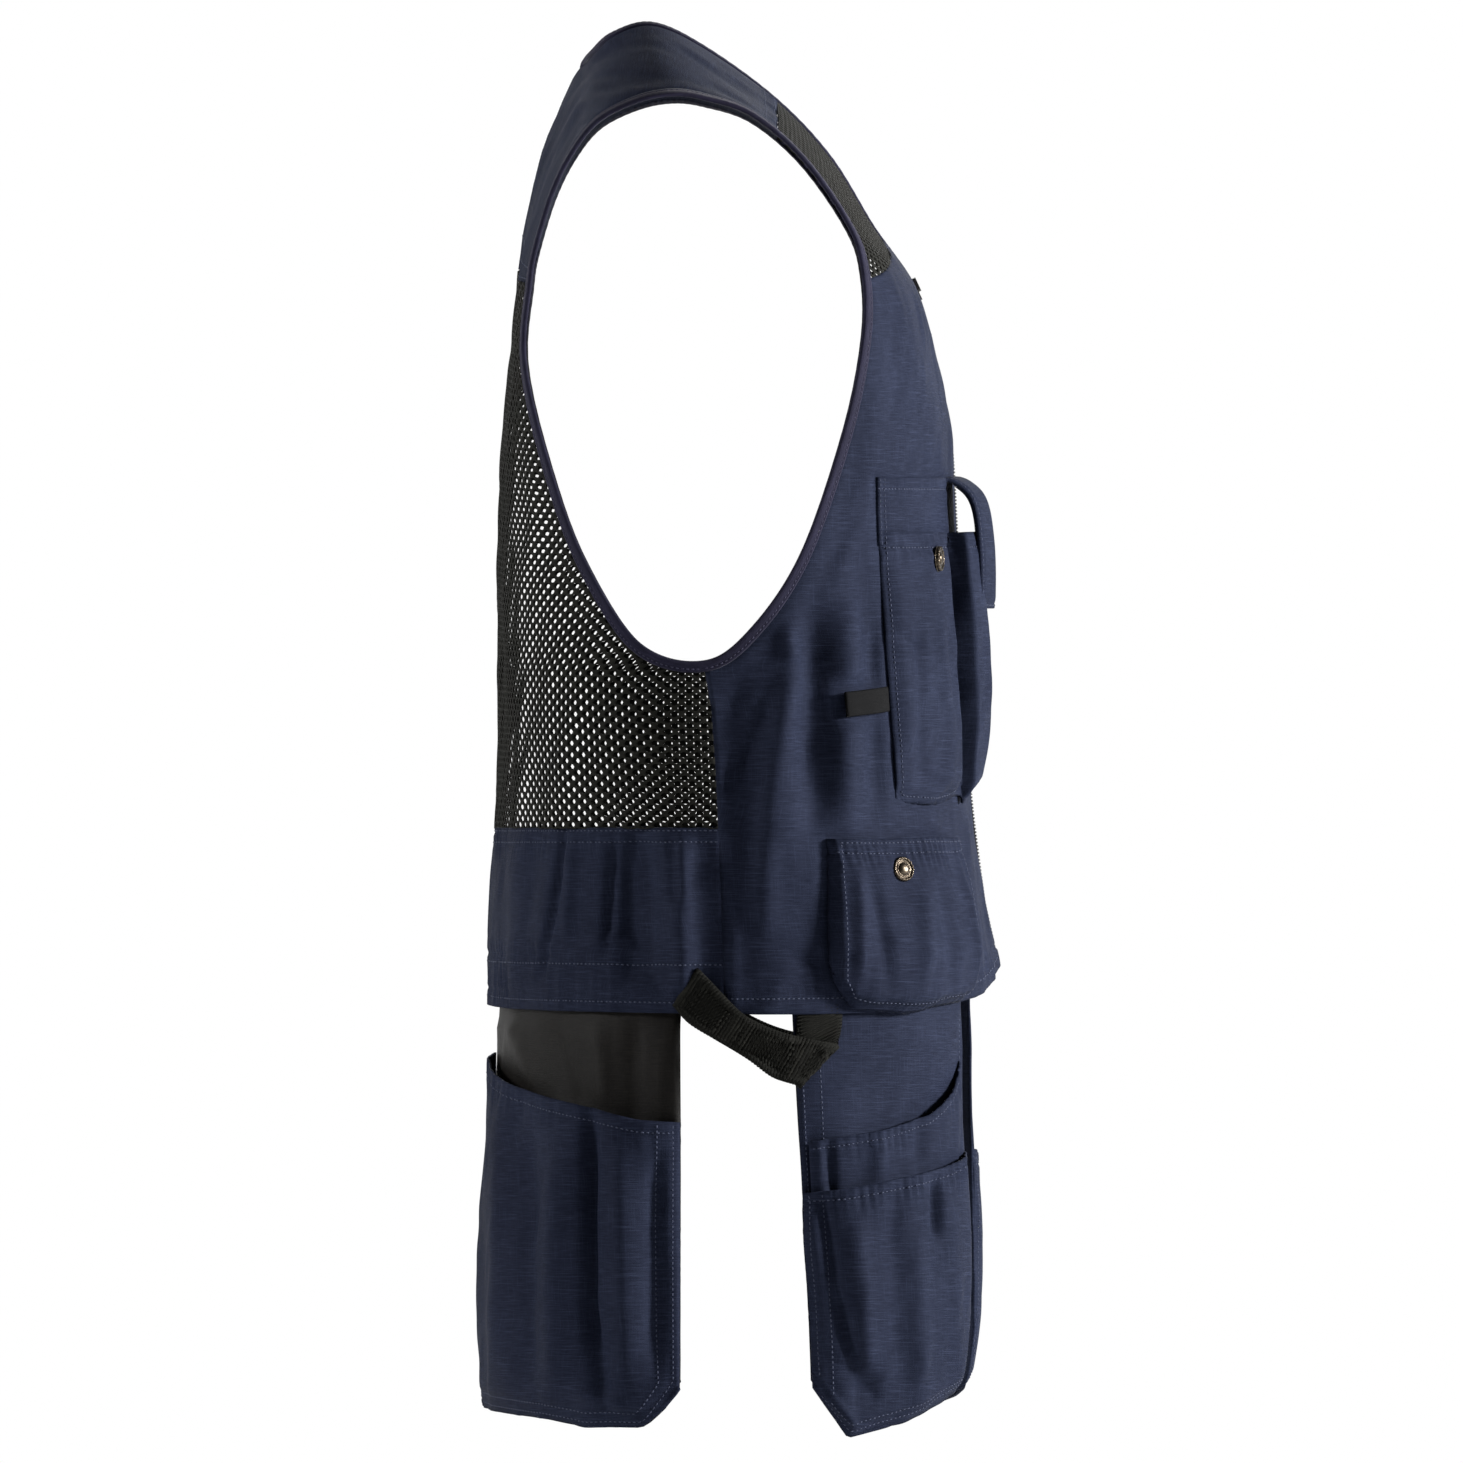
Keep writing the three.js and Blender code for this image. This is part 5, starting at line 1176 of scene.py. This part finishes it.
lower = lifted(lower, slack(x, y, 71) + 0.001 * creases(across, up, LOWER_CREASES)
               + gathered(x, below - POCKET_HEM, 72, 0.0009)
               + gathered(x, y - LOWER_FOOT_SEAM, 73, 0.0003)
               + sewn((1 - across) * x[:, -1:] - LOWER_SIDE_SEAM)
               + sewn(across * x[:, -1:] - LOWER_SIDE_SEAM)
               + 0.0009 * np.exp(-((across - 0.955) / 0.012) ** 2))
pair("lower_pocket", lower, CLOTH, canvas, "navy_canvas", "lower_pocket")
hem = 1 - POCKET_HEM / y[-1].mean()
stitches("lower_pocket_stitches", lower, [
    level(hem, 0.03, 0.97),
    [(0.94, 0.97), (0.94, 0.10), (0.90, 0.05), (0.12, 0.05), (0.07, 0.12), (0.06, 0.97)],
    level(0.975, 0.05, 0.95)])
stud("lower", lower, LOWER_SNAP)

# Front holsters
# A canvas backing is sewn in behind the hem and carries two open layers, one in front of the other.
# Their outer seams are turned in and stitched, and a doubled strip edges the rear side.
HEM_DEPTH = 0.565
TUCK = 0.011
WEBBING = 0.002
REAR_INSET = 0.0022
FRONT_INSET = REAR_INSET + WEBBING
FRONT_LENGTH = 0.254
FRONT_TURNS = {"right": (38, 78.5, 3.8), "left": (32, 78.5, 3.8)}
FRONT_DEPTH = 0.018
INNER_DEPTH = 0.008
INNER_MARGIN = 0.03
INNER_HEM = 0.005
OUTER_HEM = 0.006
BACK_SEAMS = (0.0025, 0.009)
SIDE_SEAMS = (0.0022, 0.0075)
FOOT_SEAMS = (0.003, 0.009)
STRIP_WIDTH = 0.010
# Across a holster: the depth of each mouth and of the bottom edge, in shares of its length, and how
# far it stands out, in shares of its layer's depth.
FRONT_ROWS = columns("share inner outer bottom proud", [
    [0.00, 0.114, 0.325, 0.752, 0.00], [0.05, 0.140, 0.328, 0.835, 0.30],
    [0.14, 0.180, 0.338, 0.894, 0.60], [0.37, 0.240, 0.364, 0.928, 0.95],
    [0.62, 0.272, 0.389, 0.972, 1.00], [0.846, 0.290, 0.412, 0.998, 0.80],
    [0.96, 0.300, 0.420, 0.912, 0.45], [1.00, 0.303, 0.422, 0.880, 0.00],
])
HOLSTER_UP = columns("share proud", [
    [0.00, 0.00], [0.07, 0.45], [0.30, 0.80], [0.65, 1.00], [1.00, 0.90],
])


def holster_point(turns, inset, length, u, depth, off):
    """A point under the hem: u from the front edge to the rear one, which swings forward as it falls."""
    front_turn, rear_turn, swing = turns
    rear = rear_turn - swing * np.maximum(depth, 0)
    return off_body(mix(front_turn, rear, u), -(HEM_DEPTH + length * depth), off - inset)


def backing(turns, inset, length, rows, u, v):
    """A holster's backing from its bottom edge to its tuck above the hem."""
    return holster_point(turns, inset, length, u, mix(read(rows, u)["bottom"], -TUCK / length, v), 0 * u)


def layer(turns, inset, length, rows, mouth, lift, u, v, margin=0.0):
    """A layer off its backing from its bottom seam to its mouth, by the shares across and up."""
    row = read(rows, u)
    depth = mix(row["bottom"] - margin, row[mouth], v)
    off = lift * row["proud"] * read(HOLSTER_UP, v)["proud"] + CLOTH
    return holster_point(turns, inset, length, mix(margin, 1 - margin, u), depth, off)


# Creases of the outer layer and of the one behind it: from x, z to x, z, width and height in mm.
OUTER_CREASES = np.array([
    [160, -664, 161, -700, 3, -1.6], [90, -674, 98, -731, 4, -1.6], [98, -731, 110, -775, 4, -1.4],
    [112, -690, 118, -780, 7, 1.2], [135, -670, 138, -790, 8, -0.9], [150, -700, 150, -800, 6, 0.9],
    [108, -772, 120, -800, 9, -1.4], [92, -790, 112, -812, 3, 0.8], [170, -680, 172, -790, 4, 0.8],
]) / 1000
INNER_CREASES = np.array([
    [95, -640, 97, -675, 3, -1.1], [125, -630, 127, -668, 5, 0.9], [150, -622, 150, -662, 4, -0.8],
]) / 1000
for hand, turns in FRONT_TURNS.items():
    layout = (turns, FRONT_INSET, FRONT_LENGTH, FRONT_ROWS)
    across, up = grid(40, 60)
    rear_sheet = backing(*layout, across, up)
    x, y = lengths(rear_sheet)
    rear_edge = x[:, -1:] - x
    rear_sheet = lifted(rear_sheet, slack(x, y, 81) + sewn(rear_edge - BACK_SEAMS[0])
                        + sewn(rear_edge - BACK_SEAMS[1]))
    across, up = grid(72, 32)
    inner_sheet = layer(*layout, "inner", INNER_DEPTH, across, up, INNER_MARGIN)
    x, y = lengths(inner_sheet)
    inner_sheet = lifted(inner_sheet, slack(x, y, 91) + gathered(x, y[-1:] - y - INNER_HEM, 92, 0.0010)
                         + creases(inner_sheet[..., 0], inner_sheet[..., 2], INNER_CREASES))
    inner_hem = 1 - INNER_HEM / lengths(inner_sheet)[1][-1].mean()
    across, up = grid(84, 64)
    outer_sheet = layer(*layout, "outer", FRONT_DEPTH, across, up)
    x, y = lengths(outer_sheet)
    rear_edge = x[:, -1:] - x
    lift = (slack(x, y, 101) + gathered(x, y[-1:] - y - OUTER_HEM, 102, 0.0010)
            + 1.3 * creases(outer_sheet[..., 0], outer_sheet[..., 2], OUTER_CREASES)
            + sewn(x - 0.003) + puckers(y, rear_edge, 103, 0.0003)
            + 0.0008 * ease(STRIP_WIDTH - rear_edge, 0, 0.001))
    for seam, foot_seam in zip(SIDE_SEAMS, FOOT_SEAMS):
        lift = lift + sewn(rear_edge - seam) + sewn(y - foot_seam)
    outer_sheet = lifted(outer_sheet, np.maximum(lift, -0.001 - 0.008 * ease(y, 0.008, 0.05)))
    outer_hem = 1 - OUTER_HEM / lengths(outer_sheet)[1][-1].mean()
    back_lines = [rising(at, 0.30, 0.95) for at in (0.975, 0.90, 0.03)]
    outer_lines = [
        level(outer_hem), [(0.975, 0.10), (0.982, 0.99)], [(0.925, 0.08), (0.94, 0.99)],
        [(0.03, 0.99), (0.03, 0.05), (0.97, 0.018)], [(0.05, 0.07), (0.93, 0.05)]]
    layers = (("back", rear_sheet, back_lines), ("inner", inner_sheet, [level(inner_hem)]),
              ("outer", outer_sheet, outer_lines))
    left = hand == "left"
    for part, sheet, _ in layers:
        cloth(f"front_holster_{part}_cloth_{hand}", [mirrored(sheet) if left else sheet], CLOTH, canvas,
              "navy_canvas", f"front_holster_{part}_{hand}")
    for part, sheet, lines in layers:
        stitches(f"front_holster_{part}_stitches_{hand}", sheet, lines, sides=(-1,) if left else (1,))

# Rear holsters
# A wide canvas bag hangs on a smooth nylon backing under the back hem. Its front side has a doubled
# seam strip, and its bottom corner there is cut off at a slant.
REAR_LENGTH = 0.247
REAR_TURNS = (97.2, 157, 0)
REAR_DEPTH = 0.015
REAR_HEM = 0.008
REAR_ROWS = columns("share mouth bottom proud", [
    [0.00, 0.263, 0.907, 0.00], [0.04, 0.261, 0.955, 0.45], [0.10, 0.257, 1.000, 0.75],
    [0.27, 0.219, 1.000, 1.00], [0.42, 0.195, 0.982, 0.80], [0.70, 0.150, 0.967, 0.65],
    [0.94, 0.110, 0.958, 0.35], [1.00, 0.100, 0.940, 0.00],
])
REAR_CREASES = np.array([
    [-48, -624, -47, -760, 4, -2.2], [-47, -740, -38, -805, 5, -1.4], [-30, -640, -26, -790, 8, 1.6],
    [-66, -640, -68, -790, 8, 1.4], [-84, -640, -86, -790, 6, -1.2], [-8, -650, -8, -780, 6, -1.2],
    [-100, -620, -104, -780, 6, 1.2], [-60, -790, -20, -800, 4, 0.9],
]) / 1000
LINING_CREASES = np.array([
    [-95, -570, -80, -615, 5, 1.6], [-70, -568, -60, -622, 6, -1.6], [-45, -568, -38, -626, 5, 1.6],
    [-20, -568, -22, -630, 5, -1.3], [0, -570, -6, -632, 5, 1.1],
]) / 1000
nylon = woven("black_nylon", (0.0024, 0.0021, 0.0019), (0.0060, 0.0053, 0.0046), slub=0.3, roughness=0.5,
              rib=0.0005, gloss=0.05)
layout = (REAR_TURNS, REAR_INSET, REAR_LENGTH, REAR_ROWS)
across, up = grid(48, 36)
lining = backing(*layout, across, up)
x, y = lengths(lining)
hidden = ease(lining[..., 2], -0.572, -0.566)
lift = slack(x, y, 111, 0.0009, 0.0006) + 0.6 * creases(lining[..., 0], lining[..., 2], LINING_CREASES)
lining = lifted(lining, lift * (1 - hidden) - 0.0004 - 0.0016 * hidden)
pair("rear_lining", lining, CLOTH, nylon, "black_lining", "rear_holster_lining")
across, up = grid(96, 66)
bag = layer(*layout, "mouth", REAR_DEPTH, across, up)
x, y = lengths(bag)
lift = (slack(x, y, 121, 0.0012, 0.0008) * ease(np.minimum(across, 1 - across), 0, 0.08)
        + 1.5 * creases(bag[..., 0], bag[..., 2], REAR_CREASES)
        + gathered(x, y[-1:] - y - REAR_HEM, 122, 0.0010) + puckers(y, x, 123, 0.0003)
        + puckers(x, y, 124, 0.0003) + 0.0008 * ease(STRIP_WIDTH - x, 0, 0.001))
for seam, foot_seam in zip(SIDE_SEAMS, FOOT_SEAMS):
    lift = lift + sewn(x - seam) + sewn(y - foot_seam)
bag = lifted(bag, np.maximum(lift, -0.001 - 0.008 * ease(y, 0.008, 0.05)))
pair("rear_bag", bag, CLOTH, canvas, "navy_canvas", "rear_holster_bag")
stitches("rear_bag_stitches", bag, [
    level(1 - REAR_HEM / y[-1].mean()), [(0.017, 0.99), (0.017, 0.06), (0.10, 0.016), (0.98, 0.016)],
    [(0.055, 0.99), (0.055, 0.10), (0.12, 0.045), (0.95, 0.045)], rising(0.98, 0.99, 0.05)])

# Tool loops
# One band of ribbed black-olive webbing is sewn to the waist panel by its cut end, hangs in a bow
# under the side seam and folds up behind the hem.
WEBBING_WIDTH = 0.026
# The band's two edges from its cut end down and up behind the hem: places in widths of the webbing
# from the seam's foot, and how far the band is off the body in thicknesses of the webbing.
LOOP = columns("front_x front_z rear_x rear_z off", [
    [-0.60, 1.05, -1.15, 0.18, 0.72], [-0.02, 0.44, -0.83, -0.20, 0.72],
    [0.36, 0.05, -0.21, -0.60, 0.72], [0.74, -0.20, 0.55, -1.06, 0.45],
    [1.36, -0.44, 1.13, -1.48, 0.10], [2.48, -0.69, 1.60, -1.62, -0.15],
    [2.60, -0.75, 1.72, -1.70, -0.75], [2.62, -0.62, 1.66, -1.50, -1.45],
    [2.72, -0.30, 1.68, -0.70, -1.45], [2.74, 0.22, 1.70, 0.10, -1.45],
])
RIB = 0.0021
across, up = grid(8, 540)
seam_x = vest_point(np.array(float(BACK_HEM_ROW)), np.array(1.0))[0]
path = through(LOOP, up * (len(LOOP["off"]) - 1))
loop_x = seam_x + WEBBING_WIDTH * mix(path["front_x"], path["rear_x"], across)
loop_z = WEBBING_WIDTH * mix(path["front_z"], path["rear_z"], across) - HEM_DEPTH
turn = np.degrees(angle_at(loop_x, loop_z))
strap = off_body(turn, loop_z, path["off"] * WEBBING + WEBBING / 2)
x, y = lengths(strap)
rim = np.minimum(across, 1 - across)
ribs = 0.00075 * np.sin(2 * np.pi * y / RIB) * ease(rim, 0.02, 0.09) - 0.0005 * np.exp(-(rim / 0.03) ** 2)
strap = lifted(strap + facing(strap) * WEBBING / 2, ribs)
# Its ribs value paints highlight and shade into the colour along each rib.
webbing = woven("olive_webbing", (0.0026, 0.0026, 0.0022), (0.0085, 0.0085, 0.0072), slub=0.3, rib=RIB,
                bump=0.5, ribs=0.45)
pair("loop_band", strap, WEBBING, webbing, "olive_webbing", "tool_loop", upright=False)

# Closing lines
# The box round everything shown but the floor is measured.
low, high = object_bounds()
